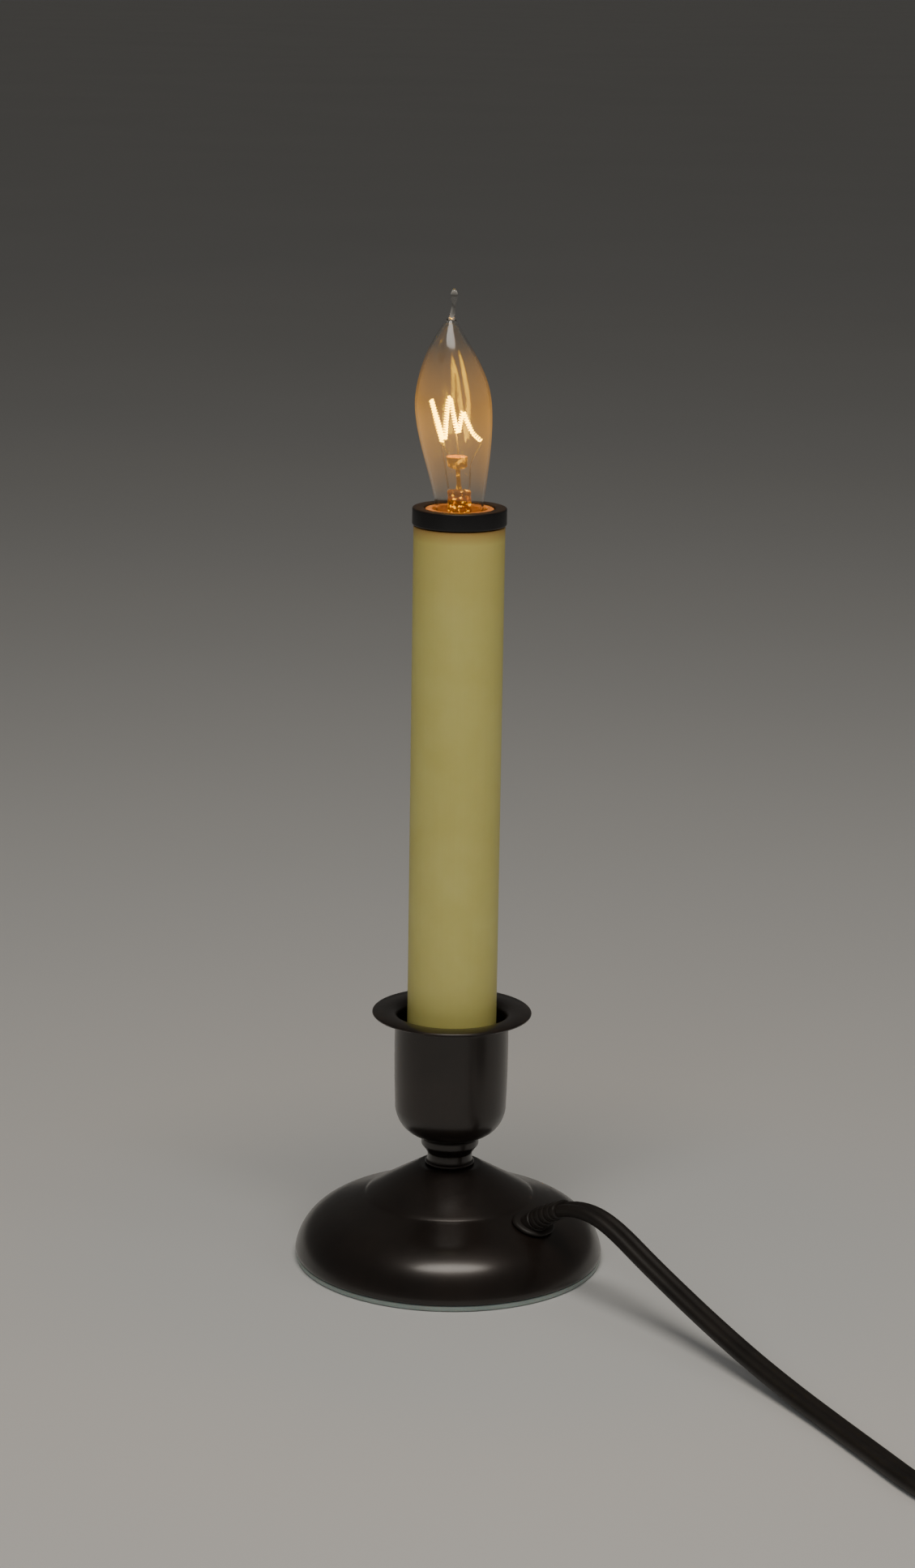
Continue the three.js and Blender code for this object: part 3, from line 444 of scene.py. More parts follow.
def moulded(name, dark, light, rough, grain=1500, strength=0.15):
    """A moulded plastic or rubber with a fine spark-eroded grain and a slow drift of tone."""
    n = Nodes(name)
    tone = n.span(n.noise(60, 4, 0.6), 0, 1, 0.32, 0.68)
    speck = n.ramp(n.noise(1900, 2), [(0.68, (0, 0, 0)), (0.76, (1, 1, 1))])
    base = n.mix(tone, (*dark, 1), (*light, 1))
    n.link(n.mix(n.math("MULTIPLY", speck, 0.2), base, (*[min(1, c * 2.2) for c in light], 1)), "Base Color")
    n.link(n.span(n.noise(140, 4, 0.6), rough - 0.06, rough + 0.08), "Roughness")
    n.bump(n.noise(grain, 3, 0.5), strength, 0.00008)
    return n.material


def metal(name, dark, light, rough, stretch, grain=300):
    """A metal with drawn or turned marks along one direction and faint tarnish."""
    n = Nodes(name, Metallic=1.0)
    marks = n.noise(grain, 4, 0.6, n.stretched(*stretch))
    tarnish = n.span(n.noise(90, 5, 0.65), 0, 1, 0.35, 0.7)
    base = n.mix(tarnish, (*light, 1), (*dark, 1))
    n.link(n.mix(n.math("MULTIPLY", marks, 0.35), base, (*dark, 1)), "Base Color")
    n.link(n.span(marks, rough - 0.08, rough + 0.12), "Roughness")
    n.bump(marks, 0.12, 0.00004)
    return n.material


def cast_iron():
    """The weight in the foot: a grey casting left rough from the sand."""
    n = Nodes("cast_iron", Metallic=0.8)
    colours = [(0.3, (0.018, 0.017, 0.017)), (0.75, (0.075, 0.068, 0.062))]
    n.link(n.ramp(n.noise(220, 5, 0.7), colours), "Base Color")
    n.link(n.span(n.noise(400, 4), 0.55, 0.8), "Roughness")
    n.bump(n.noise(650, 5, 0.7), 0.6, 0.0003)
    return n.material


def clear_vinyl():
    """The pad: frosted clear vinyl, faintly green, with trapped dust."""
    n = Nodes("clear_vinyl", Subsurface_Weight=0.3, Subsurface_Scale=0.002)
    dust = n.ramp(n.noise(1500, 3), [(0.6, (0, 0, 0)), (0.75, (1, 1, 1))])
    base = n.mix(n.span(n.noise(70, 3), 0, 1, 0.3, 0.7), (0.27, 0.33, 0.31, 1), (0.36, 0.42, 0.39, 1))
    n.link(n.mix(n.math("MULTIPLY", dust, 0.3), base, (0.55, 0.58, 0.54, 1)), "Base Color")
    n.link(n.span(n.noise(300, 3), 0.28, 0.42), "Roughness")
    n.bump(n.noise(900, 3), 0.25, 0.0001)
    return n.material


def bulb_glass():
    """Clear soda glass with the faint ripple of blown glass, which lets the filament's light through and
    carries a painted warm glow round the filament: orange emission at its height, stronger towards the edges."""
    n = Nodes("bulb_glass", Transmission_Weight=1.0, IOR=1.5, Roughness=0.07,
              Base_Color=(1.0, 0.965, 0.91, 1), Emission_Color=(1.0, 0.42, 0.01, 1))
    n.bump(n.noise(110, 2, 0.4), 0.06, 0.0004)
    height = n.add("ShaderNodeSeparateXYZ", {"Vector": n.position}).outputs["Z"]
    rise = n.span(height, 0, 1, 0.228, 0.248)
    fall = n.span(height, 1, 0, 0.252, 0.272)
    edge = n.add("ShaderNodeLayerWeight", {"Blend": 0.35}).outputs["Facing"]
    # painted glow: emission on the glass, strongest at the filament's height and towards the glass's edges
    painted_glow = n.math("MULTIPLY", n.math("MULTIPLY", rise, fall), n.span(edge, 0.4, 1.0, 0.1, 0.9))
    n.link(n.math("MULTIPLY", painted_glow, 0.2), "Emission Strength")
    path = n.add("ShaderNodeLightPath").outputs
    passes = n.math("MAXIMUM", path["Is Shadow Ray"], path["Is Diffuse Ray"])
    clear = n.add("ShaderNodeBsdfTransparent", {"Color": (1.0, 0.95, 0.88, 1)})
    both = n.add("ShaderNodeMixShader", {0: passes, 1: n.shader.outputs[0], 2: clear.outputs[0]})
    n.tree.links.new(both.outputs[0], n.output.inputs["Surface"])
    return n.material


def lit_glass(name, low, high, scale, tint):
    """Thick glass close to the filament, with painted glints: orange emission in a noise pattern, for seeds
    and ripples in it that catch the orange light.
    """
    n = Nodes(name, Transmission_Weight=0.75, IOR=1.5, Roughness=0.08, Base_Color=(*tint, 1),
              Emission_Color=(1.0, 0.43, 0.003, 1))
    # painted glints: orange emission spots in a noise pattern
    painted_glints = n.ramp(n.noise(scale, 3, 0.6), [(0.56, (0, 0, 0)), (0.68, (1, 1, 1))])
    n.link(n.span(painted_glints, low, high), "Emission Strength")
    n.bump(n.noise(scale * 0.7, 3), 0.5, 0.0004)
    return n.material


def glowing(name, colour, strength, cold):
    """Hot tungsten, a little uneven along its length; cold is the bare metal's colour."""
    n = Nodes(name, Roughness=0.5, Base_Color=(*cold, 1), Emission_Strength=strength)
    flicker = n.span(n.noise(900, 2), 0.75, 1.0, 0.3, 0.7)
    n.link(n.mix(flicker, (*[c * 0.8 for c in colour], 1), (*colour, 1)), "Emission Color")
    return n.material


MATERIALS = {
    "bronze": bronze_paint(),
    "ivory": ivory_plastic(),
    "cream": moulded("tan_phenolic", (0.20, 0.115, 0.055), (0.27, 0.165, 0.085), 0.4),
    "collar": moulded("black_phenolic", (0.006, 0.0055, 0.006), (0.012, 0.011, 0.012), 0.36, 1100, 0.2),
    "switch": moulded("black_switch_plastic", (0.009, 0.008, 0.008), (0.016, 0.014, 0.013), 0.42, 1700, 0.3),
    "rubber": moulded("black_pvc", (0.0085, 0.0065, 0.0055), (0.019, 0.0145, 0.012), 0.5, 1300, 0.22),
    "wire": moulded("brown_wire_insulation", (0.10, 0.06, 0.03), (0.16, 0.10, 0.05), 0.45),
    "steel": metal("zinc_steel", (0.30, 0.30, 0.31), (0.55, 0.55, 0.54), 0.34, (1, 1, 6)),
    "wire_steel": metal("lead_wire_nickel", (0.32, 0.28, 0.24), (0.6, 0.55, 0.48), 0.3, (1, 1, 9), 700),
    "brass": metal("brass", (0.45, 0.29, 0.09), (0.72, 0.51, 0.2), 0.26, (1, 1, 7)),
    "iron": cast_iron(),
    "vinyl": clear_vinyl(),
    "glass": bulb_glass(),
    "black_glass": moulded("black_vitrite", (0.008, 0.008, 0.012), (0.02, 0.02, 0.03), 0.14, 600, 0.05),
    # the press and arbor glass carry painted glints: orange emission of these low and high strengths
    "press": lit_glass("press_glass", 0.03, 3.0, 800, (0.42, 0.19, 0.045)),
    "lit_glass": lit_glass("arbor_glass", 0.08, 1.3, 600, (0.24, 0.12, 0.012)),
    "filament": glowing("hot_filament", (1.0, 0.55, 0.01), 14.0, (0.2, 0.18, 0.16)),
}


# ---- camera
CAMERA_PLACE = Vector((0.0006, -1.002, 0.3863))
CAMERA_PITCH = math.radians(13.56)       # below level
CAMERA_ROLL = math.radians(0.9)
FOCAL_HEIGHTS = 2.2724                   # focal length over the sensor's height


def make_camera():
    data = bpy.data.cameras.new("camera")
    data.sensor_fit = "VERTICAL"
    data.sensor_height = 24
    data.lens = data.sensor_height * FOCAL_HEIGHTS
    data.clip_start = 0.01
    data.clip_end = 250
    camera = scene_object("camera", data)
    look = Matrix.Rotation(math.pi / 2 - CAMERA_PITCH, 4, "X") @ Matrix.Rotation(CAMERA_ROLL, 4, "Z")
    camera.matrix_world = Matrix.Translation(CAMERA_PLACE) @ look
    bpy.context.scene.camera = camera


make_camera()


# ---- the lead
def coil_turns():
    """Points and rolls of the coil: on edge, in along the lower layer, up, and out along the upper layer."""
    start = Vector(MIDDLE_POINTS[-1]) - COIL_CENTRE
    end = Vector(TAIL_POINTS[0]) - COIL_CENTRE
    start_angle = math.atan2(start.y, start.x)
    end_angle = math.atan2(end.y, end.x) + TURNS_IN_COIL * 2 * math.pi
    start_radius = start.xy.length
    end_radius = end.xy.length
    lower_z = COIL_BOTTOM + CORD_WIDTH / 2 + 0.05 * MM
    upper_z = lower_z + CORD_WIDTH + GAP * MM
    lower_end = start_angle + 2 * math.pi * (start_radius - COIL_LEAST_RADIUS) / COIL_PITCH
    climb_end = lower_end + math.radians(95)
    lift = math.radians(88)                  # the last stretch rises and turns flat
    points, rolls = [], []
    step = 2 * MM / start_radius
    count = round((end_angle - start_angle) / step)
    for i in range(1, count):
        angle = start_angle + (end_angle - start_angle) * i / count
        if angle < lower_end:
            radius = start_radius - COIL_PITCH * (angle - start_angle) / (2 * math.pi)
            z = start.z + (lower_z - start.z) * smooth(angle - start_angle)
        elif angle < climb_end:
            radius = COIL_LEAST_RADIUS
            z = lower_z + (upper_z - lower_z) * smooth((angle - lower_end) / (climb_end - lower_end))
        else:
            out = (angle - climb_end) / (end_angle - climb_end)
            radius = COIL_LEAST_RADIUS + (end_radius - COIL_LEAST_RADIUS) * out
            z = upper_z
        rise = smooth((angle - (end_angle - lift)) / lift)
        z += (end.z - upper_z) * rise if angle > climb_end else 0
        points.append(COIL_CENTRE + Vector((radius * math.cos(angle), radius * math.sin(angle), z)))
        rolls.append(ON_EDGE * (1 - rise))
    return points, rolls


def zip_cord_section(count=44):
    """Two moulded cores side by side, with a groove between them on both faces."""
    core = CORD_THICKNESS / 2
    apart = CORD_WIDTH / 2 - core
    points = []
    for k in range(count):
        a = 2 * math.pi * k / count
        x = (apart + core) * math.cos(a)
        local = abs(x) - apart
        reach = math.sqrt(max(core * core - local * local, 0))
        y = max(reach, core * 0.72) if abs(x) < apart else reach
        points.append((x, math.copysign(y, math.sin(a)) if abs(math.sin(a)) > 1e-9 else 0))
    return points


def make_cord():
    """The whole lead as one sweep, and the path it follows."""
    step = 2.2 * MM
    lead = spline(LEAD_POINTS, step)
    middle = spline(MIDDLE_POINTS, step)
    tail = spline(TAIL_POINTS, step)
    inside = evenly([lead[-1], middle[0]], step)[1:-1]
    coil, coil_rolls = coil_turns()
    path = [*lead, *inside, *middle, *coil, *tail]
    rolls = [0] * (len(lead) + len(inside))
    rolls += [ON_EDGE * smooth(i / (len(middle) - 1)) for i in range(len(middle))]
    rolls += coil_rolls + [0] * len(tail)
    for _ in range(3):                       # eases the joins between the stretches
        eased = [(a + 2 * b + c) / 4 for a, b, c in zip(path, path[1:], path[2:])]
        path = [path[0], *eased, path[-1]]
    nodes = ("cord_lead", "cord_middle", "cord_coil", "cord_tail")
    part = sweep(path, zip_cord_section(), rolls)
    return make_piece("lead_cord", part, "rubber", nodes, sharp=50), path


cord, cord_path = make_cord()


# ---- base, in millimetres
DOME_WALL = 1.2
DOME_OUTLINE = [
    (45.35, 1.8), (45.55, 2.1),
    *bezier((45.6, 3.0), (43.8, 12.4), (33.0, 16.4), 28),
    *bezier((29.5, 17.75), (26.4, 19.0), (25.3, 19.5), 5),
    *bezier((24.9, 19.75), (24.6, 20.05), (23.7, 20.65), 6),
    (20.6, 22.45), (17.0, 24.6), (13.4, 26.7),
    *bezier((9.9, 28.75), (9.3, 29.1), (8.7, 29.1), 5),
    (5.3, 29.1),
]
EXIT = Vector(LEAD_POINTS[0])
RELIEF_INNER_END = -6.5                  # mm along the lead from the dome's surface
RELIEF_OUTER_END = 14.0
RELIEF_STEP = 0.25


def relief_frame(s):
    """Centre, tangent, side and up of the strain relief at s mm from the dome's surface, in metres."""
    path = spline(LEAD_POINTS[:6], RELIEF_STEP * MM)
    k = min(max(round(s / RELIEF_STEP), 0), len(path) - 2)
    tangent = (path[k + 1] - path[max(k - 1, 0)]).normalized()
    centre = path[k] + (tangent * s * MM if s < 0 else Vector())
    side = Vector((0, 0, 1)).cross(tangent).normalized()
    return centre, tangent, side, tangent.cross(side)


def relief_half_size(s):
    """Half the strain relief's width and height at s mm, in millimetres."""
    taper = smooth((s - 2) / (RELIEF_OUTER_END - 2))
    return 5.0 - 0.7 * taper, 3.5 - 0.9 * taper


def relief_bar(start, end, count, half_size):
    """A bar bent along the start of the lead."""
    verts = []
    section = superellipse(1, 1, 2.3, 40)
    for i in range(count + 1):
        s = start + (end - start) * i / count
        centre, _, side, up = relief_frame(s)
        wide, tall = half_size(s)
        verts += [centre + side * x * wide * MM + up * y * tall * MM for x, y in section]
    return verts, capped(count + 1, len(section))


def dome_height(radius):
    """Height of the dome's outer face at a distance from the axis, both in millimetres."""
    for (r0, z0), (r1, z1) in zip(DOME_OUTLINE, DOME_OUTLINE[1:]):
        if r1 <= radius <= r0 and r0 > r1:
            return z0 + (z1 - z0) * (r0 - radius) / (r0 - r1)
    return DOME_OUTLINE[-1][1]


def onto_dome(point, direction, lift):
    """The point slid along the direction until it stands lift mm over the dome's face."""
    low, high = -20.0, 20.0
    for _ in range(40):
        t = (low + high) / 2
        q = point + direction * t * MM
        over = q.z / MM - dome_height(q.xy.length / MM) - lift
        low, high = (t, high) if over < 0 else (low, t)
    return point + direction * high * MM


def ribbed(s):
    """The strain relief's half size with its grooves, and its end rounded over."""
    wide, tall = relief_half_size(s)
    groove = 0.26 * max(0, math.sin((s - 3.2) * math.pi)) if 3.7 < s < 12.2 else 0
    end = 0.5 * smooth((s - RELIEF_OUTER_END + 0.9) / 0.9)
    return wide - groove - end, tall - groove - end


def make_relief():
    """The ribbed nose, and the lip that lies on the dome round it."""
    nose = relief_bar(RELIEF_INNER_END, RELIEF_OUTER_END, 130, ribbed)
    _, axis, side, up = relief_frame(0)
    rings = [(6.3, 4.8, 0.35), (6.55, 5.05, 0.6), (6.55, 5.05, 1.05), (6.3, 4.8, 1.4), (5.6, 4.1, 1.62),
             (4.7, 3.3, 1.7)]                # half width, half height, height over the dome
    section = superellipse(1, 1, 2.2, 64)
    verts = []
    for wide, tall, lift in rings:
        for x, y in section:
            verts.append(onto_dome(EXIT + side * x * wide * MM + up * y * tall * MM, axis, lift))
    lip = verts, bands(len(rings), len(section), closed=True)
    make_piece("strain_relief", joined(nose, lip), "rubber", ["cord_strain_relief"], sharp=50)


def make_base():
    inner = offset_outline(DOME_OUTLINE, DOME_WALL)
    inner[0] = (44.15, 1.8)
    shell = ring_outline([*DOME_OUTLINE, *reversed(inner)], 0.35, 2)
    dome = make_piece("dome_shell", lathe(shell), "bronze", ["base_dome"])
    cut(dome, relief_bar(RELIEF_INNER_END, 6, 10, lambda s: [half + GAP for half in relief_half_size(s)]))

    pad = rounded([(0, 0), (45.3, 0), (45.3, 1.5), (0, 1.5)], 0.45)
    make_piece("pad_disc", lathe(pad), "vinyl", ["base_pad"])
    make_relief()


# ---- neck and cup
def make_stem():
    """The turned neck and the spun cup, whose flange ends in a rolled rim."""
    neck = [
        (5.3, 29.4), (7.1, 29.4), *bezier((7.25, 29.5), (7.4, 30.1), (6.85, 30.3), 6),
        *bezier((6.7, 30.5), (6.55, 31.0), (6.6, 32.1), 6),
        *bezier((6.65, 32.7), (7.1, 33.6), (8.0, 34.7), 8),
        *bezier((8.2, 34.95), (8.5, 35.2), (8.5, 35.7), 4),
        (8.5, 37.2), (8.2, 37.8), (5.3, 37.8),
    ]
    make_piece("neck_turning", lathe(ring_outline(neck, 0.3)), "bronze", ["neck"])

    outside = [
        (5.3, 38.1), (8.8, 38.1),
        *bezier((9.6, 38.25), (15.4, 40.3), (16.4, 46.6), 16),
        *bezier((16.45, 48.5), (16.9, 60), (16.7, 72), 8),
        *bezier((16.72, 73.6), (16.9, 75.2), (18.4, 75.25), 7),
        (23.1, 75.3),
    ]
    inside = offset_outline(outside, 0.95)[:-1]
    inside[0] = (5.3, 39.05)
    rim = bezier((23.1, 75.3), (23.75, 75.75), (23.1, 76.2), 7)
    inside[-1] = (19.0, 76.2)
    cup = [*outside[:-1], *rim, *reversed(inside)]
    make_piece("cup_spinning", lathe(cup), "bronze", ["candle_cup"], sharp=50)


# ---- candle sleeve, collar and socket
def make_candle():
    sleeve = ring_outline([(11.75, 43), (13.1, 43), (13.1, 220.2), (11.75, 220.2)], 0.3)
    make_piece("sleeve_tube", lathe(refined(sleeve, 4), 128), "ivory", ["candle_sleeve"])

    collar = ring_outline([
        (10.65, 213.2), (11.4, 213.2), (11.4, 220.5), (13.5, 220.5), (13.5, 225.5), (10.15, 225.5),
        (10.15, 220.4), (10.65, 219.9),
    ], 0.55, 6)
    make_piece("collar_ring", lathe(collar), "collar", ["socket_collar"])

    body = ring_outline([
        (1.7, 192), (10.2, 192), (10.2, 219.4), (9.85, 219.8), (9.85, 225.2), (7.9, 225.2), (7.9, 219.6),
        (7.25, 219.6), (7.25, 202.4), (5.2, 202.4), (5.2, 196), (1.7, 196),
    ], 0.4)
    make_piece("socket_moulding", lathe(body, 96), "cream", ["socket_body"])


def refined(outline, longest):
    """The closed outline with its long sides cut into lengths of at most longest."""
    points = []
    for a, b in zip(outline, [*outline[1:], outline[0]]):
        count = max(1, math.ceil((b - a).length / longest))
        points += [a.lerp(b, i / count) for i in range(count)]
    return points


# ---- bulb, in millimetres
GLASS_BOTTOM = 218.2
NECK_Z = 226.0
WIDEST_Z = 254.0
FLAME_TIP_Z = 279.5
NECK_RADIUS = 6.95
WIDEST_RADIUS = 10.9
TIP_RADIUS = 0.8
GLASS_WALL = 0.6
THREAD_PITCH = 2.54


def envelope(z):
    """Radius of the bulb's outer face at a height, in millimetres."""
    if z < NECK_Z:
        return 5.6 + (NECK_RADIUS - 5.6) * smooth((z - GLASS_BOTTOM) / (NECK_Z - GLASS_BOTTOM))
    if z < WIDEST_Z:
        t = (z - NECK_Z) / (WIDEST_Z - NECK_Z)
        return NECK_RADIUS + (WIDEST_RADIUS - NECK_RADIUS) * math.sin(t ** 1.25 * math.pi / 2)
    t = min((z - WIDEST_Z) / (FLAME_TIP_Z - WIDEST_Z), 1)
    return TIP_RADIUS + (WIDEST_RADIUS - TIP_RADIUS) * (1 - t ** 1.9) ** 1.12


def bulb_lean(z):
    """How far the glass, set a little crooked in its screw shell, has leant to -X at a height."""
    return -2.45 * smooth((z - 222) / 40)


def flame_axis(z):
    """Where the envelope's axis passes: it leans, and the blown tip bends and comes back at its end."""
    bend = -1.0 * smooth((z - 258) / 17) * (1 - smooth((z - 276) / 8))
    return bulb_lean(z) + bend, 0.35 * smooth((z - 262) / 14)


def leant(part):
    """The part, in metres, moved over with the bulb's lean."""
    verts, faces = part
    return [Vector((v[0] + bulb_lean(v[2] / MM) * MM, v[1], v[2])) for v in verts], faces


def helix_along(points, coil_radius, pitch):
    """Points of a coiled wire that follows the points, in millimetres."""
    per_turn = 9
    core = spline(points, pitch / per_turn)
    path = []
    for i, (point, tangent) in enumerate(zip(core, tangents(core))):
        side = (side - tangent * side.dot(tangent) if i else tangent.orthogonal()).normalized()
        a = 2 * math.pi * i / per_turn
        path.append(point + (side * math.cos(a) + tangent.cross(side) * math.sin(a)) * coil_radius)
    return path


def wire_piece(name, points, radius, node):
    path = [p * MM for p in spline(points, 0.6)]
    make_piece(name, leant(sweep(path, circle(radius * MM, 12))), "wire_steel", [node], "bulb")


def make_glass():
    """The blown envelope, drawn out to a pip at its tip, as one closed skin with a wall."""
    heights = [GLASS_BOTTOM + (279.3 - GLASS_BOTTOM) * i / 70 for i in range(71)]
    outer = [(envelope(z), z) for z in heights]
    tip = [(0.7, 280.2), (0.58, 281.8), (0.6, 283.4), (0.86, 284.3), (1.02, 285.2), (0.95, 286.2),
           (0.6, 286.95), (0, 287.2)]
    inner = [(r - GLASS_WALL, z) for r, z in outer if r > 1.9 or z < 250]
    skin = [*outer, *tip, (0, inner[-1][1] + 0.9), *reversed(inner)]
    part = lathe(skin, 96, flame_axis)
    make_piece("glass_envelope", part, "glass", ["bulb_glass"], "bulb", 60)


def make_mount():
    """What stands inside the glass: the press and arbor, the wires on them and the coiled filament."""
    flare = [(218.5, 4.6, 4.6, 2), (218.9, 4.5, 4.5, 2), (220, 3.6, 3.4, 2.1), (221.4, 3.1, 2.2, 2.6)]
    press = []
    for i in range(30):                      # pinched flat, with the jaws' ripple across it
        z = 222.2 + (229.9 - 222.2) * i / 29
        ripple = math.sin((z - 222) * 2.6)
        press.append((z, 3.3 + 0.09 * ripple, 1.3 + 0.16 * ripple, 5))
    press += [(230.35, 3.15, 1.2, 5), (230.6, 2.7, 0.9, 4)]
    part = leant(lofted(flare + press, 40))
    make_piece("glass_press", part, "press", ["bulb_stem"], "bulb", 60)
    arbor = [
        (0, 230.65), (0.8, 230.65), *bezier((0.85, 231.2), (0.6, 231.6), (0.62, 232.6), 6), (0.62, 235.2),
        *bezier((0.65, 236.3), (2.3, 236.7), (2.65, 237.1), 7),
        *bezier((2.8, 237.4), (2.85, 238.8), (3.0, 239.5), 6),
        *bezier((3.05, 240.0), (2.7, 240.15), (2.4, 240.1), 5), (1.6, 239.7), (0, 239.6),
    ]
    make_piece("glass_arbor", leant(lathe(arbor, 40)), "lit_glass", ["bulb_stem"], "bulb", 60)

    wires = (
        ("lead_left", 0.22, [(-3.0, 0, 230.9), (-3.7, 0, 238), (-4.2, -0.9, 243.8)]),
        ("lead_right", 0.22, [(3.0, 0, 230.9), (4.0, 0, 238), (7.2, -0.9, 243.8)]),
        ("support_left", 0.18, [(-2.6, 1.6, 240.4), (-5.3, 2.2, 247), (-6.4, 2.7, 255.0)]),
        ("support_centre", 0.18, [(0.5, 1.4, 240.4), (0.2, 3.0, 248), (-0.9, 2.2, 256)]),
    )
    for name, radius, points in wires:
        wire_piece(name, points, radius, "bulb_" + name)
    corners = [
        (-3.8, -1.5, 244.4), (-5.0, 0.0, 250.4), (-6.2, 1.6, 255.6), (-4.8, 1.5, 250.2), (-3.2, 1.2, 244.8),
        (-2.2, 0.7, 250.6), (-1.0, 0.2, 256.6), (-0.1, 0.8, 251.6), (0.8, 1.4, 246.6), (1.7, 0.9, 249.6),
        (2.6, 0.4, 252.6), (3.7, 0.2, 249.8), (5.0, 0.0, 246.8), (7.2, -1.5, 244.7),
    ]
    coil = [p * MM for p in helix_along(corners, 0.5, 0.75)]
    wire = leant(sweep(coil, circle(0.2 * MM, 6)))
    make_piece("filament_coil", wire, "filament", ["bulb_filament"], "bulb", 60)


def threaded_sleeve(radius, depth, wall, bottom, top):
    """A rolled screw shell whose wall carries one real helical thread, dying out at both ends."""
    segments, per_turn = 72, 16
    rows = round((top - bottom) / THREAD_PITCH * per_turn)
    outside = [(i, radius) for i in range(rows + 1)]
    inside = [(i, radius - wall) for i in reversed(range(rows + 1))]
    verts = []
    for i, crest in [*outside, *inside]:
        z = bottom + (top - bottom) * i / rows
        fade = smooth(min(i, rows - i) / per_turn * 1.6)
        for k in range(segments):
            turn = 2 * math.pi * k / segments
            wave = 0.5 + 0.5 * math.cos(2 * math.pi * (z - bottom) / THREAD_PITCH - turn)
            r = crest - depth * (1 - wave * fade)
            verts.append((r * math.cos(turn) * MM, r * math.sin(turn) * MM, z * MM))
    return verts, bands(len(outside + inside), segments, closed=True)


def make_bulb_base():
    """The bulb's screw shell, button and contact, and the shell in the socket that they screw into."""
    skirt = [(5.2, 217.0), (5.75, 217.0), (6.35, 217.6), (6.35, 219.2), (6.0, 219.2), (6.0, 217.8)]
    shell = joined(threaded_sleeve(5.85, 0.42, 0.35, 203.9, 217.3), lathe(ring_outline(skirt, 0.1), 72))
    make_piece("screw_shell", shell, "brass", ["bulb_screw_shell"], "bulb_base")
    insulator = rounded([(1.95, 203.5), (1.95, 201.6), (2.6, 201.6), (4.4, 203.1), (4.4, 203.5)], 0.15)
    button = lathe(insulator, 48)
    make_piece("vitrite_button", button, "black_glass", ["bulb_insulator"], "bulb_base")
    contact = [(0, 199.7), *bezier((0.6, 199.72), (1.7, 199.8), (1.85, 200.7), 6), (1.85, 201.2),
               (1.5, 201.4), (1.5, 203), (0, 203)]
    make_piece("solder_contact", lathe(contact, 40), "steel", ["bulb_contact"], "bulb_base")
    socket = threaded_sleeve(6.95, 0.3, 0.3, 203.1, 215.6)
    make_piece("socket_shell", socket, "brass", ["socket_screw_shell"])


make_base()
make_stem()
make_candle()
make_glass()
make_mount()
make_bulb_base()


# ---- switch, tie and plug, in millimetres
SWITCH_CENTRE = Vector((0.172, -0.1778, 0))      # in metres
SWITCH_SPLIT = 5.6
SWITCH_BOTTOM = 0.1
SWITCH_TOP = 13.1
SWITCH_LENGTH = 44
SWITCH_WIDTH = 19
ROCKER_TILT = math.radians(8)
ROCKER_PIN_Z = 8.6
SCREW_X = -17
PLUG_LENGTH = 32
BLADE_OFFSET = 6.35                      # from the plug's axis to the middle of a blade
ONTO_X = Matrix(((0, 0, 1, 0), (1, 0, 0, 0), (0, 1, 0, 0), (0, 0, 0, 1)))    # turns Z to X, X to Y, Y to Z
SWAP_YZ = Matrix(((1, 0, 0, 0), (0, 0, 1, 0), (0, 1, 0, 0), (0, 0, 0, 1)))


def make_switch_shells(here):
    """The case's two halves, with room for the works, the lead, the rocker and the screw."""
    outline = rounded_rectangle(SWITCH_LENGTH, SWITCH_WIDTH, 6)
    low, split, top = SWITCH_BOTTOM, SWITCH_SPLIT, SWITCH_TOP
    lower = stacked([(low, 1.2), (low + 0.15, 0.65), (low + 0.6, 0.2), (low + 1.2, 0), (split - 0.35, 0),
                     (split - 0.15, 0.25)], outline)
    lower = make_piece("switch_lower", placed(lower, here), "switch", ["switch_lower_shell"])
    upper = stacked([(split + 0.15, 0.25), (split + 0.35, 0), (top - 2.6, 0), (top - 1.3, 0.35),
                     (top - 0.5, 1.0), (top - 0.1, 2.0), (top, 3.2)], outline)
    upper = make_piece("switch_upper", placed(upper, here), "switch", ["switch_upper_shell"])
    cut(lower, placed(box_part(0, 0, 4.9, 26, 14.6, 5), here))
    cut(upper, placed(box_part(0, 0, split + 2, 24, 14.6, 5), here))
    window = stacked([(9, 0), (top - 0.5, 0), (top + 0.4, -0.5), (top + 2, -1.5)],
                     rounded_rectangle(15.2, 9.4, 1.2, 5))
    cut(upper, placed(window, here))
    wide, tall = CORD_WIDTH / 2 + 0.25 * MM, CORD_THICKNESS / 2 + 0.25 * MM
    channel = [Vector((x * MM, 0, 5.5 * MM)) + SWITCH_CENTRE for x in range(-26, 27, 4)]
    bore = sweep(channel, [(x * wide, y * tall) for x, y in circle(1, 28)])
    cut(lower, bore)
    cut(upper, bore)
    for end in (-1, 1):                      # grip ridges across each end of the upper shell
        for i in range(4):
            cut(upper, placed(box_part(end * (12.2 + i * 2.0), 0, top + 0.1, 0.8, 11, 0.9), here))
    screw_hole = stacked([(low - 1, 0), (split + 1, 0)], [(x + SCREW_X, y) for x, y in circle(1.6, 28)])
    cut(lower, placed(screw_hole, here))
    shade(lower, 32)
    shade(upper, 32)
    return [lower, upper]


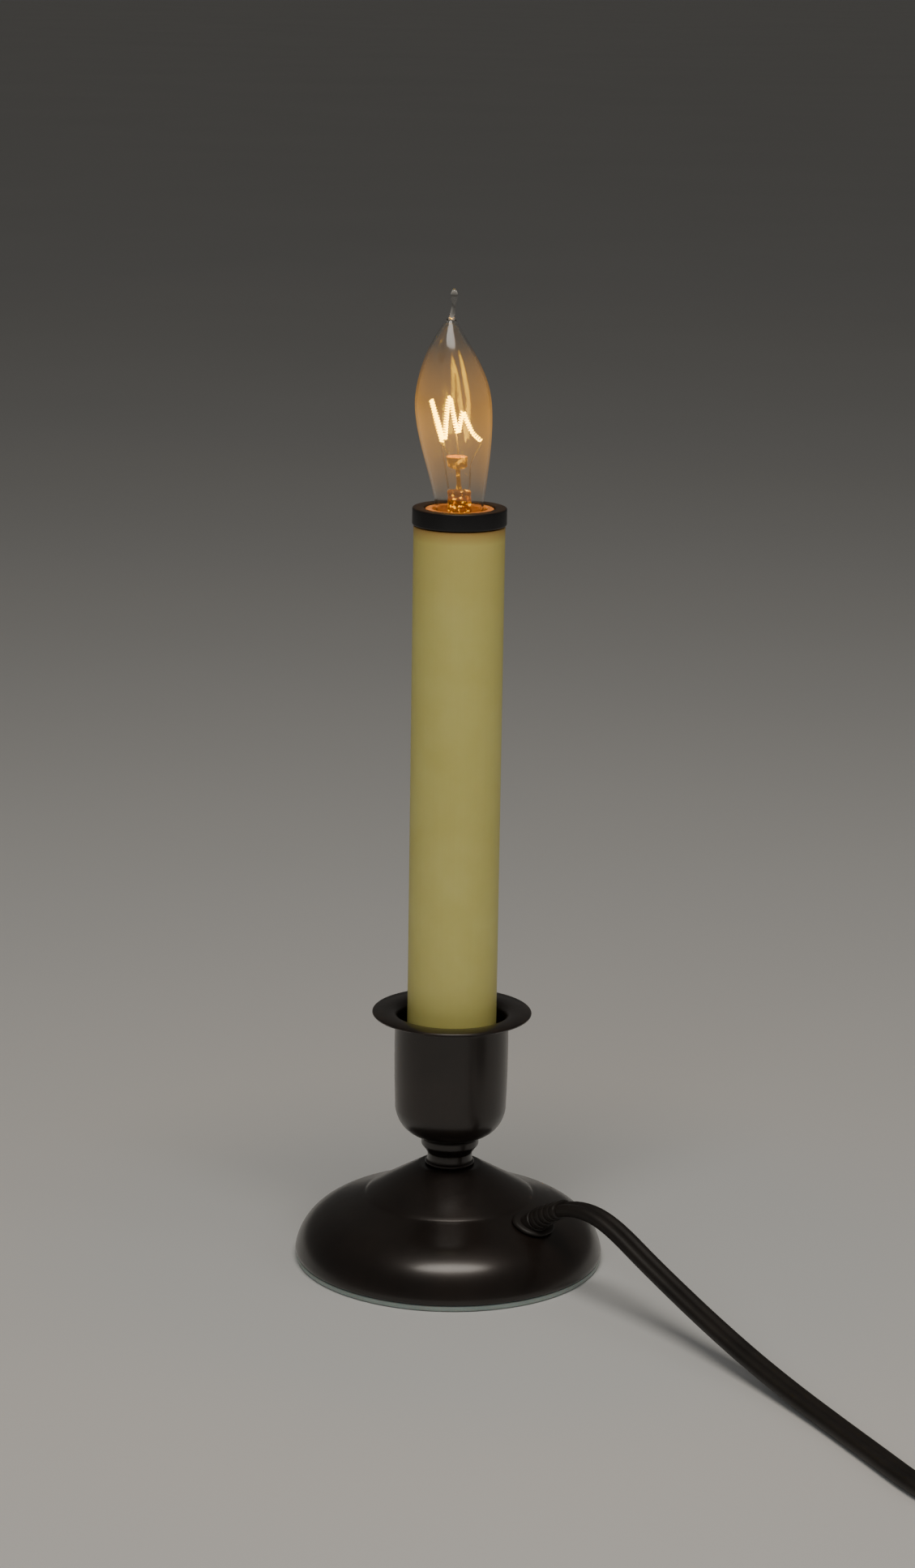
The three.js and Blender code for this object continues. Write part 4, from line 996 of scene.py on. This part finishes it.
def make_rocker():
    """The key, hollowed along its top, on a pin across the switch."""
    half = 6.6
    hollow = [(x, 3.6 + (x / half) ** 2) for x in (half * (i / 12 - 1) for i in range(25))]
    rows = ((-4.2, 0.5), (-4.05, 0.12), (-3.7, 0), (3.7, 0), (4.05, 0.12), (4.2, 0.5))
    verts = []
    for y, drop in rows:
        profile = [*((x, z - drop) for x, z in hollow), (half, -1.6), (-half, -1.6)]
        verts += [(x * MM, y * MM, z * MM) for x, z in profile]
    key = verts, capped(len(rows), len(profile))
    pin = sweep([Vector((0, y * MM, 0)) for y in (-6.3, -6.0, 6.0, 6.3)], circle(1.2 * MM, 24),
                sizes=[0.8, 1, 1, 0.8])
    pivot = Matrix.Translation(SWITCH_CENTRE + Vector((0, 0, ROCKER_PIN_Z * MM)))
    part = placed(joined(key, pin), pivot @ Matrix.Rotation(ROCKER_TILT, 4, "Y"))
    return make_piece("rocker_cap", part, "collar", ["switch_rocker"], "rocker")


def make_screw(here):
    """The screw that holds the case together, its crossed slot in the underside."""
    place = here @ Matrix.Translation((SCREW_X * MM, 0, 0))
    head = rounded([(0, 0.7), (1.3, 0.7), (1.3, 5.3), (0, 5.3)], 0.25)
    part = placed(lathe(head, 32), place)
    screw = make_piece("switch_screw_head", part, "steel", ["switch_screw"])
    cut(screw, placed(box_part(0, 0, 0.8, 3, 0.5, 0.9), place))
    cut(screw, placed(box_part(0, 0, 0.8, 0.5, 3, 0.9), place))
    shade(screw, 32)
    return screw


def make_switch():
    here = Matrix.Translation(SWITCH_CENTRE)
    return [*make_switch_shells(here), make_rocker(), make_screw(here)]


def make_tie():
    """A flat moulded strap drawn tight round the coil's bundle."""
    corners = [(48.75, 0.75), (48.75, 7.45), (39.1, 15.9), (31.3, 15.9), (31.3, 0.75)]     # radius and height
    rounding = 1.5
    points = [Vector((radius, 0, height)) for radius, height in corners]
    loop = []
    for before, here, after in zip(points[-1:] + points[:-1], points, points[1:] + points[:1]):
        start = here + (before - here).normalized() * rounding
        end = here + (after - here).normalized() * rounding
        loop += bezier(start, here, end, 7)
    section = superellipse(2.9, 0.28, 5, 20)
    verts = []
    for i, p in enumerate(loop):
        along = (loop[(i + 1) % len(loop)] - loop[i - 1]).normalized()
        out = Vector((along.z, 0, -along.x))
        verts += [p + Vector((0, x, 0)) + out * y for x, y in section]
    strap = verts, bands(len(loop), len(section), closed=True)
    turn = Matrix.Translation(COIL_CENTRE) @ Matrix.Rotation(TIE_ANGLE, 4, "Z") @ Matrix.Scale(MM, 4)
    return make_piece("coil_tie", placed(strap, turn), "collar", ["cord_tie"], sharp=50)


def make_blade(name, node, side, turn):
    """One flat blade of the plug, with the hole near its end. side is 1 or -1."""
    middle = 6.5                             # of its length, from the plug's front
    half = 0.75
    outline = rounded([(-3, -3.17), (14, -3.17), (16, -1.6), (16, 1.6), (14, 3.17), (-3, 3.17), (-3, -3.17)],
                      0.5, 3)[:-1]
    flat = stacked([(-half, 0.12), (-half + 0.12, 0), (half - 0.12, 0), (half, 0.12)],
                   [(x - middle, z) for x, z in outline])
    place = Matrix.Translation(((PLUG_LENGTH + middle) * MM, side * BLADE_OFFSET * MM, 0)) @ SWAP_YZ
    blade = make_piece(name, placed(flat, turn @ place), "brass", [node], sharp=30)
    across = [Vector(((PLUG_LENGTH + 11.8) * MM, (side * BLADE_OFFSET + y) * MM, 0)) for y in (-2, 2)]
    cut(blade, placed(sweep(across, circle(1.6 * MM, 32)), turn))
    shade(blade, 30)
    return blade


def make_plug():
    """The moulded body, with its ribbed neck where the lead enters, and the two blades."""
    tail = spline(TAIL_POINTS, 0.5 * MM)
    along = tail[-1] - tail[-2]
    along.z = 0
    along.normalize()
    rear = tail[-1] + along * 1.5 * GAP * MM
    turn = Matrix.Translation(rear) @ Matrix.Rotation(math.atan2(along.y, along.x), 4, "Z")
    stations = [
        (0, 4.1, 2.6, 2), (0.4, 4.5, 3.0, 2), (1.6, 4.6, 3.1, 2), (2.0, 4.15, 2.7, 2), (2.6, 4.15, 2.7, 2),
        (3.0, 4.7, 3.2, 2), (4.2, 4.8, 3.3, 2), (4.6, 4.3, 2.9, 2), (5.2, 4.3, 2.9, 2), (5.6, 4.95, 3.45, 2),
        (6.8, 5.05, 3.55, 2), (7.2, 4.6, 3.2, 2), (7.8, 4.7, 3.3, 2), (8.6, 5.3, 3.8, 2.2),
        (9.6, 6.6, 4.5, 2.5), (11.0, 9.2, 5.4, 3), (12.6, 10.6, 5.9, 3.4), (15.5, 11.6, 6.3, 3.8),
        (19.0, 12.0, 6.5, 4), (24, 12.0, 6.5, 4), (29.0, 12.0, 6.5, 4), (30.8, 11.85, 6.4, 4),
        (31.6, 11.5, 6.1, 4), (PLUG_LENGTH, 11.0, 5.7, 4),
    ]
    part = placed(lofted(stations, 56), turn @ ONTO_X)
    body = make_piece("plug_moulding", part, "rubber", ["plug_body"])
    for side in (-1, 1):                     # a thumb hollow on each broad face, and the blades' pockets
        layers = [(side * 5.75, 0.9), (side * 6.0, 0.45), (side * 6.6, 0), (side * 8, -0.4)]
        hollow = stacked(layers, [(x + 20.5, y) for x, y in superellipse(5.4, 4.2, 2.4, 36)])
        cut(body, placed(hollow, turn))
        cut(body, placed(box_part(PLUG_LENGTH, side * BLADE_OFFSET, 0, 6.6, 2.1, 6.95), turn))
    shade(body, 35)
    left = make_blade("plug_blade_left", "plug_blade_line", 1, turn)
    right = make_blade("plug_blade_right", "plug_blade_neutral", -1, turn)
    return [body, left, right]


switch_pieces = make_switch()
tie = make_tie()
plug_pieces = make_plug()


# ---- hidden pieces keep their own shape
INNER_FINISHES = {
    "base_weight": "iron", "base_washer": "steel", "base_nut": "steel", "lamp_pipe": "steel",
    "cup_washer": "steel", "cup_nut": "steel", "socket_bracket": "steel", "bracket_nut": "steel",
    "socket_rivet": "steel", "socket_contact": "brass", "wire_line": "wire", "wire_neutral": "wire",
}
for node_name, finish in INNER_FINISHES.items():
    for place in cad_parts[node_name].material_slots:
        place.link = "OBJECT"
        place.material = MATERIALS[finish]


# ---- stage and lights
def make_stage():
    n = Nodes("pale_paper", Roughness=0.85)
    tone = n.noise(2.4, 3, 0.5)
    n.link(n.mix(tone, (0.70, 0.705, 0.70, 1), (0.76, 0.76, 0.75, 1)), "Base Color")
    n.bump(n.noise(420, 3), 0.05, 0.0002)
    mesh = bpy.data.meshes.new("floor")
    half = 90.0
    corners = [(-half, -half, 0), (half, -half, 0), (half, half, 0), (-half, half, 0)]
    mesh.from_pydata(corners, [], [(0, 1, 2, 3)])
    floor = scene_object("floor", mesh)
    floor.data.materials.append(n.material)
    floor.location.z = -0.0002


def area_light(name, place, target, size, power, colour, reflected=True):
    data = bpy.data.lights.new(name, "AREA")
    data.shape = "ELLIPSE"
    data.size, data.size_y = size
    data.energy = power
    data.color = colour
    light = scene_object(name, data)
    light.location = place
    light.rotation_euler = (Vector(target) - Vector(place)).to_track_quat("-Z", "Y").to_euler()
    light.visible_glossy = reflected
    light.visible_transmission = False


def make_lights():
    area_light("overhead", (0.03, -0.47, 1.2), (0, -0.05, 0.0), (0.9, 0.36), 6.6, (1.0, 0.945, 0.86))
    area_light("front_fill", (-0.35, -1.45, 0.8), (0, 0, 0.13), (0.9, 0.9), 3.2, (0.97, 0.985, 1.0), False)
    area_light("right_fill", (1.1, -0.6, 0.7), (0, 0, 0.12), (0.8, 0.8), 1.1, (1.0, 0.985, 0.95), False)
    data = bpy.data.lights.new("filament_light", "POINT")
    data.energy = 0.16
    data.color = (1.0, 0.47, 0.06)
    data.shadow_soft_size = 0.004
    light = scene_object("filament_light", data)
    light.location = (-0.0015, -0.0005, 0.2485)
    light.visible_camera = False
    light.visible_glossy = False
    light.visible_transmission = False

    world = bpy.data.worlds.new("world")
    world.use_nodes = True
    background = world.node_tree.nodes["Background"]
    background.inputs["Color"].default_value = (0.62, 0.595, 0.555, 1)
    background.inputs["Strength"].default_value = 0.12
    bpy.context.scene.world = world


make_stage()
make_lights()
